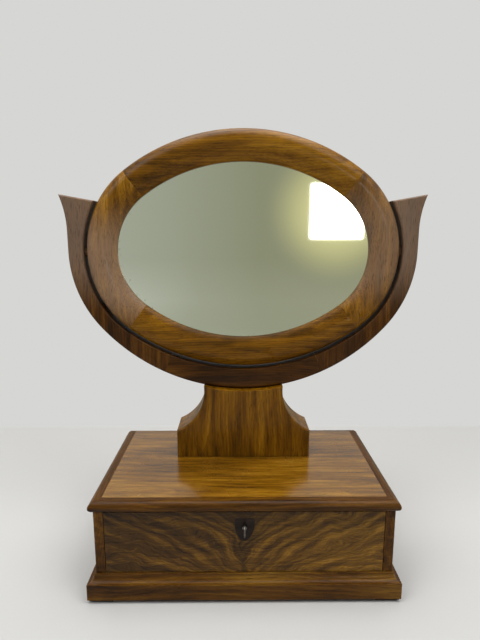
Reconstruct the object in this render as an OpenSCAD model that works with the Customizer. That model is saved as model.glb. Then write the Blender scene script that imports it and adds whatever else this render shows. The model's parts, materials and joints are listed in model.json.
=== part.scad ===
// Table mirror: an oval glass in a domed frame tilts in a U-shaped cradle,
// which stands on a waisted pedestal and a box with one locking drawer.
// Millimetres. The origin is on the table, under the middle of the plinth.
// +Z is up, the front faces -Y and the right-hand side is +X.

/* [Carcase] */
// Width of the carcase outside its sides
case_w = 370; // [330:1:420]
// Depth of the carcase, front to back
case_d = 208; // [190:1:240]
// Thickness of the side boards
side_t = 12; // [10:0.5:16]
// Thickness of the back board
back_t = 10; // [8:0.5:14]
// Thickness of the board under the drawer
floor_t = 8; // [6:0.5:12]
// Depth of the housing in each side that holds that board
housing_d = 4; // [2:0.5:6]
// Clear height of the drawer bay
bay_h = 83; // [75:1:110]

/* [Top] */
// Thickness of the top
top_t = 14; // [12:0.5:18]
// How far the top stands out past the front and the sides
top_overhang = 5; // [2:0.5:8]
// Width of the solid nosing round the top
nosing_w = 14; // [10:0.5:17]

/* [Plinth and feet] */
// Height of the plinth
plinth_h = 31; // [26:1:44]
// Thickness of the plinth at its foot
plinth_t = 10; // [8:0.5:14]
// Thickness of the plinth at its upper edge
plinth_lip_t = 2; // [1:0.5:4]
// Height of the square lip above the plinth's cove
plinth_lip_h = 2; // [1:0.5:4]
// Height of the four feet
foot_h = 5; // [3:0.5:10]
// Width of each foot
foot_w = 30; // [24:1:44]
// How far each foot stands in from the plinth's faces
foot_inset = 2; // [1:0.5:5]
// Length of each leg of the corner blocks behind the plinth
block_leg = 18; // [12:1:26]

/* [Drawer] */
// Thickness of the drawer front behind its veneer
front_t = 16.5; // [14:0.5:20]
// Thickness of the veneer on the drawer front
veneer_t = 1.5; // [0.8:0.1:2.5]
// Gap round the drawer front
drawer_gap = 0.6; // [0.4:0.1:1.2]
// Thickness of the drawer sides
drawer_side_t = 8; // [6:0.5:11]
// Thickness of the drawer back
drawer_back_t = 8; // [6:0.5:11]
// Thickness of the drawer bottom
drawer_bottom_t = 5; // [3:0.5:7]
// Depth of the groove that the drawer bottom sits in
groove_d = 4; // [2:0.5:5]
// Height of the groove above the lower edge of the sides
groove_rise = 3; // [2:0.5:6]
// How much lower the drawer sides are than the front
side_drop = 8; // [4:1:16]
// Height of the two runners
runner_h = 3; // [2:0.5:5]
// Width of the two runners
runner_w = 12; // [9:1:18]
// Depth of the two stops behind the drawer
stop_d = 7; // [4:0.5:14]
// Width of each stop
stop_w = 20; // [12:1:40]
// Height of each stop
stop_h = 18; // [10:1:30]

/* [Dovetails] */
// Number of tails at each corner of the drawer
tail_count = 3; // [2:1:4]
// Length of the tails in the drawer front
tail_l = 10; // [7:0.5:12]
// How much wider a tail is at its end, on each flank
tail_flare = 1.6; // [0.8:0.2:2.4]
// Width of the wood between the wide ends of two tails
pin_w = 8; // [5:0.5:10]

/* [Lock and key] */
// Depth of the key's axis below the upper edge of the drawer front
keyhole_drop = 20.5; // [19:0.5:26]
// Width of the lock case
lock_w = 40; // [34:1:56]
// Height of the lock case below the selvedge
lock_h = 33; // [31:1:44]
// Depth of the lock case
lock_d = 9; // [8:0.5:11]
// Thickness of the lock case walls
lock_wall = 1.2; // [0.8:0.1:1.6]
// Thickness of the lock's back plate
plate_t = 1.5; // [1:0.1:2.5]
// How far the back plate reaches past the lock case
plate_margin = 7; // [6:0.5:12]
// Width of the bolt
bolt_w = 16; // [12:0.5:20]
// Thickness of the bolt
bolt_t = 4; // [3:0.5:5]
// Travel of the bolt
bolt_throw = 6; // [4:0.5:7]
// Clearance round the bolt
bolt_fit = 0.25; // [0.15:0.05:0.5]
// Radius of the key's shank
shank_r = 2; // [1.8:0.1:2.4]
// Radius of the drill pin that the key turns on
drill_pin_r = 1; // [0.8:0.05:1.2]
// Running clearance between the drill pin and the key
key_fit = 0.07; // [0.03:0.01:0.1]
// Reach of the key's bit from its axis
bit_reach = 7; // [6:0.25:7.5]
// Thickness of the key's bit
bit_t = 2; // [1.5:0.1:2.5]
// Outer radius of the key's bow
bow_r = 6.6; // [5.6:0.2:7.6]
// Radius of the wire of the bow
bow_wire_r = 1.3; // [1:0.1:1.8]
// Bare length of shank between the escutcheon and the bow
shank_free = 2; // [2:0.5:4]
// Clearance of the key in its hole
keyhole_fit = 0.4; // [0.2:0.05:0.8]
// Width of the shield round the keyhole
shield_w = 25; // [20:1:34]
// Height of the shield round the keyhole
shield_h = 31; // [26:1:36]
// Height of the shield above the key's axis
shield_rise = 12; // [9:0.5:14]
// Radius of the lock's four screws
lock_screw_r = 1.2; // [0.8:0.1:1.6]
// Length of the lock's four screws
lock_screw_l = 9; // [6:0.5:12]

/* [Pedestal] */
// Width of the pedestal at its foot
ped_w = 192; // [160:1:230]
// Height of the pedestal under the middle of the cradle
ped_h = 100; // [84:1:130]
// Height of the upright foot of the pedestal
ped_foot_h = 40; // [24:1:52]
// Width of the pedestal's neck
ped_neck_w = 112; // [90:1:130]
// Thickness of the pedestal
ped_t = 52; // [44:1:70]
// Distance from the back of the pedestal to the back of the top
ped_set_in = 41; // [30:1:60]
// Radius of the eased front edges of the pedestal and the cradle
ease_r = 3; // [1:0.5:5]
// Radius of the dowels
dowel_r = 5; // [4:0.5:6]
// Length of the dowels
dowel_l = 36; // [24:1:44]
// Distance of each dowel from the middle of the pedestal
dowel_x = 32; // [18:1:40]
// Distance of each pedestal screw from the middle
ped_screw_x = 70; // [50:1:72]
// Radius of the pedestal screws
ped_screw_r = 2.5; // [1.5:0.25:3.5]
// Length of the pedestal screws
ped_screw_l = 34; // [24:1:36]

/* [Oval frame] */
// Width of the glass that shows
sight_w = 348; // [310:1:380]
// Height of the glass that shows
sight_h = 240; // [224:1:256]
// Radius of the oval's two end arcs
sight_end_r = 93; // [84:1:98]
// Width of the frame's face
frame_w = 43; // [36:1:52]
// Depth of the frame from its crown to its back
frame_d = 30; // [27:0.5:34]
// Radius of the dome between the crown and the outer wall
crown_r = 17; // [13:0.5:18]
// Fall of the dome from the crown to the sight edge
sight_fall = 10; // [6:0.5:11]
// Thickness of the lip in front of the glass
lip_t = 3; // [2:0.5:4]
// Width of the rebate that holds the glass
rebate_w = 8; // [6:0.5:10]
// Width of the loose tongues in the frame's joints
tongue_w = 20; // [12:1:22]
// Length of the loose tongues
tongue_l = 24; // [16:1:32]
// Thickness of the loose tongues
tongue_t = 3; // [2:0.5:4]
// Distance from the back of the frame to the tongues
tongue_rise = 6; // [4:0.5:8]

/* [Glass and back board] */
// Thickness of the glass
glass_t = 3; // [2:0.5:4]
// Gap between the edge of the glass and its rebate
glass_gap = 0.8; // [0.4:0.1:1.5]
// Length of the blocks that wedge the glass, as an angle on the long arcs
block_angle = 5; // [3:0.5:7]
// Height of those blocks
block_h = 9; // [5:0.5:10]
// Thickness of the back board
board_t = 6; // [4:0.5:8]
// How far the back board laps onto the frame past the rebate
board_lap = 14; // [10:1:18]
// Radius of the back board's nails
nail_r = 0.9; // [0.6:0.1:1.2]
// Length of the back board's nails
nail_l = 17; // [12:1:22]

/* [Cradle] */
// Running gap between the frame and the cradle
cradle_gap = 2.5; // [2:0.1:4]
// Width of the cradle's arms at the pivots
arm_w = 21; // [18:0.2:28]
// Height of the cradle below the middle of the frame
saddle_w = 30; // [25:0.5:38]
// Depth of the cradle, front to back
cradle_d = 30; // [26:1:40]
// Height above the pivots at which the arms start to flare
flare_start = 29; // [15:1:40]
// Height of the tips above the pivots
tip_rise = 77; // [62:1:90]
// How far the tips flare outwards
tip_flare = 9; // [5:0.5:16]
// Slope of the upper edge of the tips, in degrees
tip_slope = 10; // [0:1:20]
// Half the angle that the cradle's middle piece spans
saddle_angle = 22; // [16:1:28]

/* [Pivots] */
// Radius of the pivot screws
pivot_r = 3; // [2.5:0.1:3.5]
// Running clearance of a pivot screw in its bush
pivot_fit = 0.05; // [0.02:0.01:0.1]
// Distance from the back of the frame to the pivot axis
pivot_in = 10; // [8.5:0.5:12]
// Radius of the bushes in the arms
bush_r = 5; // [4.4:0.1:6]
// Radius of the threaded sleeves in the frame
nut_r = 4.5; // [4:0.1:5]
// Length of the threaded sleeves behind their flanges
nut_l = 14; // [9:0.5:17]
// Radius of the flanges of the sleeves
flange_r = 7.5; // [6.5:0.25:8]
// Thickness of those flanges
flange_t = 2; // [1:0.25:3]
// Depth of those flanges below the wall of the frame
flange_sink = 0.7; // [0.6:0.1:1.2]
// Gap between the leather washers and the arms
washer_gap = 0.2; // [0.1:0.05:0.5]
// Radius of the heads of the pivot screws
head_r = 7; // [5.5:0.25:8]
// Height of those heads
head_h = 2.6; // [2:0.2:4]
// Depth of the flat that each head sits in
spot_d = 1.5; // [1:0.25:3]

/* [Hidden] */

// Round shapes and long arcs
$fn = 72;
arc_fn = 180;
// Clearance of glued joints and of fasteners in their holes
glue_fit = 0.1;
hole_fit = 0.05;
// Overshoot of a cut past the face that it opens
over = 1;

// Colours
mahogany = "#7d4f1c";
mahogany_dark = "#5a3510";
mahogany_light = "#9a6a30";
pine = "#c9a06a";
beech = "#c8a27a";
ebony = "#2b1d14";
brass = "#b08d3e";
steel = "#6f6f70";
leather = "#6b3f22";
silvered = "#a9ada0";

// Plan of the base
front_y = -(case_d + plinth_t) / 2;
case_front = front_y + plinth_t;
case_rear = case_front + case_d;
case_x = case_w / 2;
bay_x = case_x - side_t;
bay_rear = case_rear - back_t;
plinth_x = case_x + plinth_t;
top_x = case_x + top_overhang;
top_front = case_front - top_overhang;

// Heights of the base
bay_z = foot_h + plinth_h;
top_z = bay_z + bay_h;
slab_z = top_z + top_t;

// Drawer
drawer_x = bay_x - drawer_gap;
core_y = case_front + veneer_t;
core_rear = core_y + front_t;
drawer_rear = bay_rear - stop_d - 0.3;
front_low = bay_z + 0.4;
front_high = top_z - drawer_gap;
side_low = bay_z + runner_h + 0.2;
side_high = front_high - side_drop;
side_h = side_high - side_low;
panel_z = side_low + groove_rise;

// Lock
key_z = front_high - keyhole_drop;
selvedge_t = 2;
lock_front = core_rear - lock_d;
lock_high = front_high - selvedge_t;
plate_x = lock_w / 2 + plate_margin;
bolt_y = core_rear - lock_d / 2 - 0.5;
bolt_foot = bit_reach + bit_t;
hook_z = bit_t / 2 + 0.3;
hook_in = bit_reach * 0.69;
hook_out = bit_reach + 1.5;
bit_l = bolt_t + 1;

// Cradle, frame and glass lie in one upright plane through the pivots
ped_y = case_rear - ped_set_in - ped_t / 2;
sight_a = sight_w / 2;
sight_b = sight_h / 2;
end_x = sight_a - sight_end_r;
rim = frame_w + cradle_gap;
pivot_z = slab_z + ped_h + saddle_w + rim + sight_b;
frame_rear = ped_y + pivot_in;
cradle_rear = ped_y + cradle_d / 2;
arm_x = sight_a + rim + arm_w;

// Radius of the long arcs of a four-centre oval with half-axes a and b and end radius r
function long_r(a, b, r) = (a * a + b * b - 2 * a * r) / (2 * (b - r));

// Radius of a circular arc with a vertical tangent at one end that rises dz over dx
function sweep_r(dx, dz) = (dx * dx + dz * dz) / (2 * dx);

sight_long_r = long_r(sight_a, sight_b, sight_end_r);
sight_long_z = sight_long_r - sight_b;
joint_angle = atan2(end_x, sight_long_z);

outer_b = sight_b + rim + saddle_w;
outer_end_r = sight_end_r + rim + arm_w;
outer_long_r = long_r(arm_x, outer_b, outer_end_r);
outer_long_z = outer_long_r - outer_b;
outer_angle = atan2(end_x, outer_long_z);
// Arcs of the cradle in the frame's plane: centre and radius
outer_long = [0, outer_long_z, outer_long_r];
outer_end = [end_x, 0, outer_end_r];
inner_long = [0, sight_long_z, sight_long_r + rim];
inner_end = [end_x, 0, sight_end_r + rim];
flare_r = sweep_r(tip_flare, tip_rise - flare_start);

dome_x = frame_w - crown_r;
dome_r = (dome_x * dome_x + sight_fall * sight_fall) / (2 * sight_fall);
rebate_d = frame_d - sight_fall - lip_t;
glass_z = rebate_d - glass_t;
board_edge = rebate_w + board_lap;

// Places a drawing of the frame's plane, with its depth towards the front
module upright(rear_y) {
  translate([0, rear_y, pivot_z])
    rotate([90, 0, 0])
      children();
}

// Does the same thing on both sides
module both_sides() {
  children();
  mirror([1, 0, 0]) children();
}

// A box from its low corner to its high corner
module block(low, high) {
  translate(low) cube(high - low);
}

// One half of a four-centre oval about the line of the pivots, side 1 above and -1 below
module oval_half(side, end_r, long_arc_r, long_z) {
  turn = atan2(end_x, long_z);
  out = 2 * long_arc_r * sin(turn);
  up = 2 * side * long_arc_r * cos(turn);
  intersection() {
    translate([0, -side * long_z]) circle(long_arc_r, $fn = 2 * arc_fn);
    polygon([[-end_x, 0], [end_x, 0], [end_x + out, up], [-end_x - out, up]]);
  }
  both_sides()
    intersection() {
      translate([end_x, 0]) circle(end_r, $fn = 2 * arc_fn);
      polygon([[end_x, 0], [2 * long_arc_r, 0], [2 * long_arc_r, up], [end_x + out, up]]);
    }
}

// Four-centre oval, offset outwards from the sight edge
module oval(grow) {
  for (side = [-1, 1])
    oval_half(side, sight_end_r + grow, sight_long_r + grow, sight_long_z);
}

// Turns a section that stands at x = 0 along an arc from angle a0 to a1
module arc_sweep(centre, r, a0, a1) {
  translate([centre[0], centre[1], 0])
    rotate([0, 0, a0])
      rotate_extrude(angle = a1 - a0, $fn = 2 * arc_fn)
        translate([r, 0]) children();
}

// Along one long arc of the sight edge, side 1 above and -1 below
module long_sweep(side, half) {
  arc_sweep([0, -side * sight_long_z], sight_long_r,
    side * 90 - half, side * 90 + half) children();
}

// Along the end arc at the right
module end_sweep(half) {
  arc_sweep([end_x, 0], sight_end_r, -half, half) children();
}

// Section of the frame: x from the sight edge, y from the back
module frame_section() {
  wall_h = frame_d - crown_r;
  difference() {
    union() {
      intersection() {
        square([dome_x, frame_d]);
        translate([dome_x, frame_d - dome_r]) circle(dome_r, $fn = arc_fn);
      }
      translate([dome_x, 0]) square([crown_r, wall_h]);
      intersection() {
        translate([dome_x, wall_h]) square(crown_r);
        translate([dome_x, wall_h]) circle(crown_r, $fn = arc_fn);
      }
    }
    translate([-over, -over]) square([rebate_w + over, rebate_d + over]);
  }
}

// Loose tongues across the frame's four joints, grown by fit
module frame_tongue_set(fit) {
  mid = sight_end_r + rebate_w + (frame_w - rebate_w) / 2;
  size = [tongue_w + 2 * fit, tongue_l + 2 * fit, tongue_t + 2 * fit];
  for (turn = [90 - joint_angle, joint_angle - 90])
    both_sides()
      translate([end_x, 0, tongue_rise + tongue_t / 2])
        rotate([0, 0, turn])
          translate([mid, 0, 0]) cube(size, center = true);
}

// Holes of the back board's nails, which the nails fill
module nail_set(r, head_rise) {
  ring = rebate_w + board_lap / 2;
  for (side = [-1, 1], step = [-1, 0, 1])
    translate([0, -side * sight_long_z, 0])
      rotate([0, 0, side * 90 + step * joint_angle * 0.68])
        translate([sight_long_r + ring, 0, 0]) nail(r, head_rise);
  both_sides()
    for (step = [-1, 0, 1])
      translate([end_x, 0, 0])
        rotate([0, 0, step * (90 - joint_angle) * 0.68])
          translate([sight_end_r + ring, 0, 0]) nail(r, head_rise);
}

module nail(r, head_rise) {
  translate([0, 0, -board_t - head_rise]) cylinder(h = nail_l + head_rise, r = r);
}

module frame_piece() {
  color(mahogany)
    difference() {
      children();
      frame_tongue_set(glue_fit);
      nail_set(nail_r + hole_fit, 0);
    }
}

module frame_top() {
  upright(frame_rear) frame_piece() long_sweep(1, joint_angle) frame_section();
}

module frame_bottom() {
  upright(frame_rear) frame_piece() long_sweep(-1, joint_angle) frame_section();
}

module frame_end() {
  color(mahogany)
    difference() {
      upright(frame_rear) frame_piece() end_sweep(90 - joint_angle) frame_section();
      pivot_well();
    }
}

module frame_right() { frame_end(); }

module frame_left() { mirror([1, 0, 0]) frame_end(); }

module frame_tongues() {
  color(beech) upright(frame_rear) frame_tongue_set(0);
}

module mirror_glass() {
  color(silvered)
    upright(frame_rear)
      translate([0, 0, glass_z])
        linear_extrude(glass_t) oval(rebate_w - glass_gap);
}

// Blocks glued into the rebate behind the glass
module glass_blocks() {
  low = glass_z - block_h;
  section = [rebate_w - glass_gap - hole_fit, block_h];
  color(pine)
    upright(frame_rear) {
      for (side = [-1, 1], step = [-1, 0, 1])
        translate([0, -side * sight_long_z, 0])
          rotate([0, 0, side * 90 + step * joint_angle * 0.68 - block_angle / 2])
            rotate_extrude(angle = block_angle, $fn = 2 * arc_fn)
              translate([sight_long_r + glass_gap, low]) square(section);
      both_sides()
        translate([end_x, 0, 0])
          rotate([0, 0, -block_angle])
            rotate_extrude(angle = 2 * block_angle, $fn = 2 * arc_fn)
              translate([sight_end_r + glass_gap, low]) square(section);
    }
}

module back_board() {
  chamfer = board_t / 3;
  color(pine)
    upright(frame_rear)
      difference() {
        union() {
          translate([0, 0, -board_t + chamfer])
            linear_extrude(board_t - chamfer) oval(board_edge);
          translate([0, 0, -board_t])
            linear_extrude(chamfer) oval(board_edge - chamfer);
        }
        nail_set(nail_r + hole_fit, over);
      }
}

module back_board_nails() {
  head_r = 2 * nail_r;
  head_h = 0.6;
  color(steel)
    upright(frame_rear) {
      nail_set(nail_r, 0);
      intersection() {
        nail_set(head_r, head_h);
        translate([0, 0, -board_t - head_h / 2]) cube([case_w * 2, case_w * 2, head_h], center = true);
      }
    }
}

// What easing takes off one front edge: side 1 where the wood lies inside the arc
module ease_section(side) {
  translate([0, cradle_d])
    mirror([side > 0 ? 0 : 1, 0])
      translate([-ease_r, -ease_r])
        difference() {
          square(2 * ease_r);
          circle(ease_r);
        }
}

// Easing right round an arc of the frame's plane
module ease_ring(centre, r, side) {
  translate([centre[0], centre[1], 0])
    rotate_extrude($fn = 2 * arc_fn)
      translate([r, 0]) ease_section(side);
}

// Plan of a wedge between two angles, counted from straight down
module wedge(apex, a0, a1) {
  reach = 3 * outer_b;
  polygon([apex, apex + reach * [sin(a0), -cos(a0)], apex + reach * [sin(a1), -cos(a1)]]);
}

// One stretch of the cradle: wood between an outer and an inner arc, [x, y, radius] each
module cradle_stretch(outer, inner) {
  difference() {
    linear_extrude(cradle_d)
      difference() {
        intersection() {
          translate([outer[0], outer[1]]) circle(outer[2], $fn = 2 * arc_fn);
          children();
        }
        translate([inner[0], inner[1]]) circle(inner[2], $fn = 2 * arc_fn);
      }
    ease_ring(outer, outer[2], 1);
    ease_ring(inner, inner[2], -1);
  }
}

// Upright stretch of the right-hand arm, from the pivot to the foot of its flare
module cradle_upright() {
  difference() {
    linear_extrude(cradle_d)
      difference() {
        translate([end_x, 0]) square([arm_x - end_x, flare_start]);
        translate([end_x, 0]) circle(inner_end[2], $fn = 2 * arc_fn);
      }
    ease_ring(inner_end, inner_end[2], -1);
    translate([arm_x, flare_start + over, 0])
      rotate([90, 0, 0]) linear_extrude(flare_start + 2 * over) ease_section(1);
  }
}

// Flared tip of the right-hand arm
module cradle_tip() {
  tip_x = arm_x + tip_flare;
  tip_fall = (tip_x - end_x) * tan(tip_slope);
  flare = [arm_x + flare_r, flare_start, flare_r];
  difference() {
    linear_extrude(cradle_d)
      difference() {
        polygon([[end_x, flare_start], [tip_x, flare_start], [tip_x, tip_rise], [end_x, tip_rise - tip_fall]]);
        translate([flare[0], flare[1]]) circle(flare[2], $fn = 2 * arc_fn);
        translate([end_x, 0]) circle(inner_end[2], $fn = 2 * arc_fn);
      }
    ease_ring(inner_end, inner_end[2], -1);
    ease_ring(flare, flare[2], -1);
    translate([tip_x, tip_rise, 0])
      rotate([0, 0, 90 + tip_slope])
        translate([0, tip_x - end_x, 0])
          rotate([90, 0, 0]) linear_extrude(tip_x) ease_section(1);
  }
}

module cradle_tongue_set(fit) {
  mid = sight_long_r + rim + saddle_w / 2;
  size = [tongue_w - 4 + 2 * fit, tongue_l + 2 * fit, tongue_t + 2 * fit];
  both_sides()
    translate([0, sight_long_z, cradle_d / 2])
      rotate([0, 0, saddle_angle - 90])
        translate([mid, 0, 0]) cube(size, center = true);
}

module cradle_saddle() {
  color(mahogany_dark)
    difference() {
      upright(cradle_rear)
        difference() {
          cradle_stretch(outer_long, inner_long) wedge([0, sight_long_z], -saddle_angle, saddle_angle);
          cradle_tongue_set(glue_fit);
        }
      cradle_dowel_set(dowel_r + hole_fit, over);
    }
}

module cradle_arm() {
  first = min(joint_angle, outer_angle);
  last = max(joint_angle, outer_angle);
  inner_first = joint_angle < outer_angle;
  apex = [end_x, 0];
  color(mahogany_dark)
    difference() {
      upright(cradle_rear)
        difference() {
          union() {
            cradle_stretch(outer_long, inner_long)
              difference() {
                wedge([0, sight_long_z], saddle_angle, 80);
                wedge(apex, first, 90);
                translate([end_x, 0]) square(3 * outer_b);
              }
            cradle_stretch(inner_first ? outer_long : outer_end, inner_first ? inner_end : inner_long)
              wedge(apex, first, last);
            cradle_stretch(outer_end, inner_end) wedge(apex, last, 90);
            cradle_upright();
            cradle_tip();
          }
          cradle_tongue_set(glue_fit);
        }
      on_pivot() translate([0, 0, -arm_x]) cylinder(h = 2 * arm_x, r = bush_r + hole_fit);
      on_pivot() translate([0, 0, arm_x - spot_d]) cylinder(h = tip_flare + spot_d, r = head_r + 0.5);
    }
}

module cradle_right_arm() { cradle_arm(); }

module cradle_left_arm() { mirror([1, 0, 0]) cradle_arm(); }

module cradle_tongues() {
  color(beech) upright(cradle_rear) cradle_tongue_set(0);
}

// Dowels between the pedestal and the saddle
module cradle_dowel_set(r, spare) {
  low = slab_z + ped_h - dowel_l / 2;
  both_sides()
    translate([dowel_x, ped_y, low - spare]) cylinder(h = dowel_l + 2 * spare, r = r);
}

module cradle_dowels() {
  color(beech) cradle_dowel_set(dowel_r, 0);
}

// Puts a drawing on the pivot axis, with its height outwards to the right
module on_pivot() {
  translate([0, ped_y, pivot_z]) rotate([0, 90, 0]) children();
}

flange_face = sight_a + frame_w - flange_sink;
sleeve_in = flange_face - flange_t - nut_l;

// Stepped hole in the frame for a threaded sleeve
module pivot_well() {
  on_pivot() {
    translate([0, 0, sleeve_in - glue_fit])
      cylinder(h = nut_l + flange_t, r = nut_r + hole_fit);
    translate([0, 0, flange_face - flange_t - hole_fit])
      cylinder(h = flange_t + flange_sink + over, r = flange_r + hole_fit);
  }
}

module pivot_nut() {
  color(brass)
    on_pivot()
      difference() {
        union() {
          translate([0, 0, sleeve_in]) cylinder(h = nut_l + flange_t, r = nut_r);
          translate([0, 0, flange_face - flange_t]) cylinder(h = flange_t, r = flange_r);
        }
        translate([0, 0, sleeve_in - over]) cylinder(h = nut_l + flange_t + 2 * over, r = pivot_r);
      }
}

module pivot_nut_right() { pivot_nut(); }

module pivot_nut_left() { mirror([1, 0, 0]) pivot_nut(); }

module pivot_bush() {
  inner = sight_a + rim;
  color(brass)
    on_pivot()
      translate([0, 0, inner])
        difference() {
          cylinder(h = arm_w - spot_d, r = bush_r);
          translate([0, 0, -over]) cylinder(h = arm_w + 2 * over, r = pivot_r + pivot_fit);
        }
}

module pivot_bush_right() { pivot_bush(); }

module pivot_bush_left() { mirror([1, 0, 0]) pivot_bush(); }

module pivot_washer() {
  color(leather)
    on_pivot()
      translate([0, 0, flange_face])
        difference() {
          cylinder(h = flange_sink + cradle_gap - washer_gap, r = flange_r);
          translate([0, 0, -over]) cylinder(h = cradle_gap * 4, r = pivot_r + pivot_fit);
        }
}

module pivot_washer_right() { pivot_washer(); }

module pivot_washer_left() { mirror([1, 0, 0]) pivot_washer(); }

// Pivot screw: its thread holds in the frame's sleeve and its shank runs in the bush
module pivot_screw() {
  head_x = arm_x - spot_d + 0.3;
  cap_r = sweep_r(head_h, head_r);
  color(brass)
    on_pivot() {
      translate([0, 0, sleeve_in + 1]) cylinder(h = nut_l + flange_t, r = pivot_r - hole_fit);
      translate([0, 0, flange_face]) cylinder(h = head_x - flange_face, r = pivot_r);
      difference() {
        translate([0, 0, head_x])
          rotate_extrude()
            intersection() {
              square([head_r, head_h]);
              translate([0, head_h - cap_r]) circle(cap_r, $fn = arc_fn);
            }
        translate([-head_r, -0.5, head_x + head_h - 1.2]) cube([2 * head_r, 1, 2]);
      }
    }
}

module pivot_screw_right() { pivot_screw(); }

module pivot_screw_left() { mirror([1, 0, 0]) pivot_screw(); }

// Hollow flank of the pedestal: centre and radius, from the front and on the top
ped_sweep_r = sweep_r((ped_w - ped_neck_w) / 2, ped_h - ped_foot_h);
ped_sweep = [ped_neck_w / 2 + ped_sweep_r, ped_h, ped_sweep_r];

module pedestal_outline() {
  difference() {
    translate([-ped_w / 2, 0]) square([ped_w, ped_h + saddle_w]);
    both_sides() translate([ped_sweep[0], ped_sweep[1]]) circle(ped_sweep_r, $fn = 2 * arc_fn);
    translate([0, ped_h + outer_long_r]) circle(outer_long_r, $fn = 2 * arc_fn);
  }
}

module pedestal() {
  color(mahogany)
    difference() {
      translate([0, ped_y + ped_t / 2, slab_z])
        rotate([90, 0, 0])
          difference() {
            linear_extrude(ped_t) pedestal_outline();
            both_sides()
              translate([0, 0, ped_t - cradle_d]) {
                ease_ring(ped_sweep, ped_sweep_r, -1);
                translate([ped_w / 2, ped_foot_h, 0])
                  rotate([90, 0, 0]) linear_extrude(ped_foot_h + over) ease_section(1);
              }
          }
      cradle_dowel_set(dowel_r + hole_fit, glue_fit);
      pedestal_dowel_set(dowel_r + hole_fit, glue_fit);
      pedestal_screw_set(hole_fit);
    }
}

// Dowels between the top and the pedestal
module pedestal_dowel_set(r, spare) {
  low = top_z + glue_fit;
  both_sides()
    translate([dowel_x, ped_y, low - spare]) cylinder(h = dowel_l + 2 * spare, r = r);
}

module pedestal_dowels() {
  color(beech) pedestal_dowel_set(dowel_r, 0);
}

// Countersunk screws up through the top into the pedestal
module pedestal_screw_set(fit) {
  both_sides()
    translate([ped_screw_x, ped_y, top_z]) {
      cylinder(h = ped_screw_l, r = ped_screw_r + fit);
      cylinder(h = ped_screw_r + fit, r1 = 2 * ped_screw_r + fit, r2 = ped_screw_r);
    }
}

module pedestal_screws() {
  color(steel)
    difference() {
      pedestal_screw_set(0);
      both_sides()
        translate([ped_screw_x - 2 * ped_screw_r, ped_y - 0.6, top_z - over])
          cube([4 * ped_screw_r, 1.2, over + 1]);
    }
}

// Rectangular hole in the top for the lock's bolt
module strike_hole() {
  block([-bolt_w / 2 - 2 * bolt_fit, bolt_y - bolt_t / 2 - 2 * bolt_fit, top_z - over],
    [bolt_w / 2 + 2 * bolt_fit, bolt_y + bolt_t / 2 + 2 * bolt_fit, top_z + bolt_throw + bolt_fit]);
}

module case_top() {
  inner_x = top_x - nosing_w;
  color(mahogany)
    difference() {
      block([-inner_x, top_front + nosing_w, top_z], [inner_x, case_rear, slab_z]);
      strike_hole();
      pedestal_dowel_set(dowel_r + hole_fit, 0);
      pedestal_screw_set(hole_fit);
    }
}

// Section of the nosing: x inwards from its face
module nosing_section() {
  nose_r = top_t / 2;
  translate([nose_r, 0]) square([nosing_w - nose_r, top_t]);
  translate([nose_r, nose_r])
    intersection() {
      circle(nose_r);
      translate([-nose_r, -nose_r]) square([nose_r, top_t]);
    }
}

// Plan of one mitred length along the front, from the face inwards
module mitred_front(half, deep) {
  polygon([[-half, 0], [half, 0], [half - deep, deep], [deep - half, deep]]);
}

// Plan of one mitred length along the right-hand side
module mitred_side(deep, long) {
  polygon([[0, 0], [0, long], [-deep, long], [-deep, deep]]);
}

// A moulding along the front: its section, inwards from its face, is the child
module front_moulding(half, deep, high) {
  intersection() {
    translate([-half, 0, 0])
      rotate([90, 0, 90]) linear_extrude(2 * half) children();
    linear_extrude(high) mitred_front(half, deep);
  }
}

// A moulding along the right-hand side, with its face at x = 0
module side_moulding(deep, long, high) {
  intersection() {
    translate([0, long, 0])
      rotate([90, 0, 0]) linear_extrude(long) mirror([1, 0]) children();
    linear_extrude(high) mitred_side(deep, long);
  }
}

module nosing_front() {
  color(mahogany)
    difference() {
      translate([0, top_front, top_z]) front_moulding(top_x, nosing_w, top_t) nosing_section();
      strike_hole();
    }
}

module nosing_right() {
  color(mahogany)
    translate([top_x, top_front, top_z])
      side_moulding(nosing_w, case_rear - top_front, top_t) nosing_section();
}

module nosing_left() { mirror([1, 0, 0]) nosing_right(); }

// Section of the plinth: x inwards from its face
module plinth_section() {
  cove_r = plinth_t - plinth_lip_t;
  cove_z = plinth_h - plinth_lip_h;
  difference() {
    square([plinth_t, plinth_h]);
    translate([0, cove_z]) circle(cove_r);
    translate([-over, cove_z]) square([cove_r + over, plinth_lip_h + over]);
  }
}

module plinth_front() {
  color(mahogany)
    translate([0, front_y, foot_h])
      front_moulding(plinth_x, plinth_t, plinth_h) plinth_section();
}

module plinth_right() {
  color(mahogany)
    translate([plinth_x, front_y, foot_h])
      side_moulding(plinth_t, case_rear - front_y, plinth_h) plinth_section();
}

module plinth_left() { mirror([1, 0, 0]) plinth_right(); }

module plinth_back() {
  color(pine) block([-bay_x, bay_rear, foot_h], [bay_x, case_rear, bay_z - floor_t]);
}

// Space that the floor board fills
module floor_board(fit) {
  block([-bay_x - housing_d - fit, case_front - fit, bay_z - floor_t],
    [bay_x + housing_d + fit, bay_rear + fit, bay_z]);
}

module case_floor() {
  color(pine) floor_board(0);
}

module case_right_side() {
  color(mahogany)
    difference() {
      block([bay_x, case_front, foot_h], [case_x, case_rear, top_z]);
      floor_board(hole_fit);
    }
}

module case_left_side() { mirror([1, 0, 0]) case_right_side(); }

module case_back() {
  color(pine) block([-bay_x, bay_rear, bay_z - floor_t], [bay_x, case_rear, top_z]);
}

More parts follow.
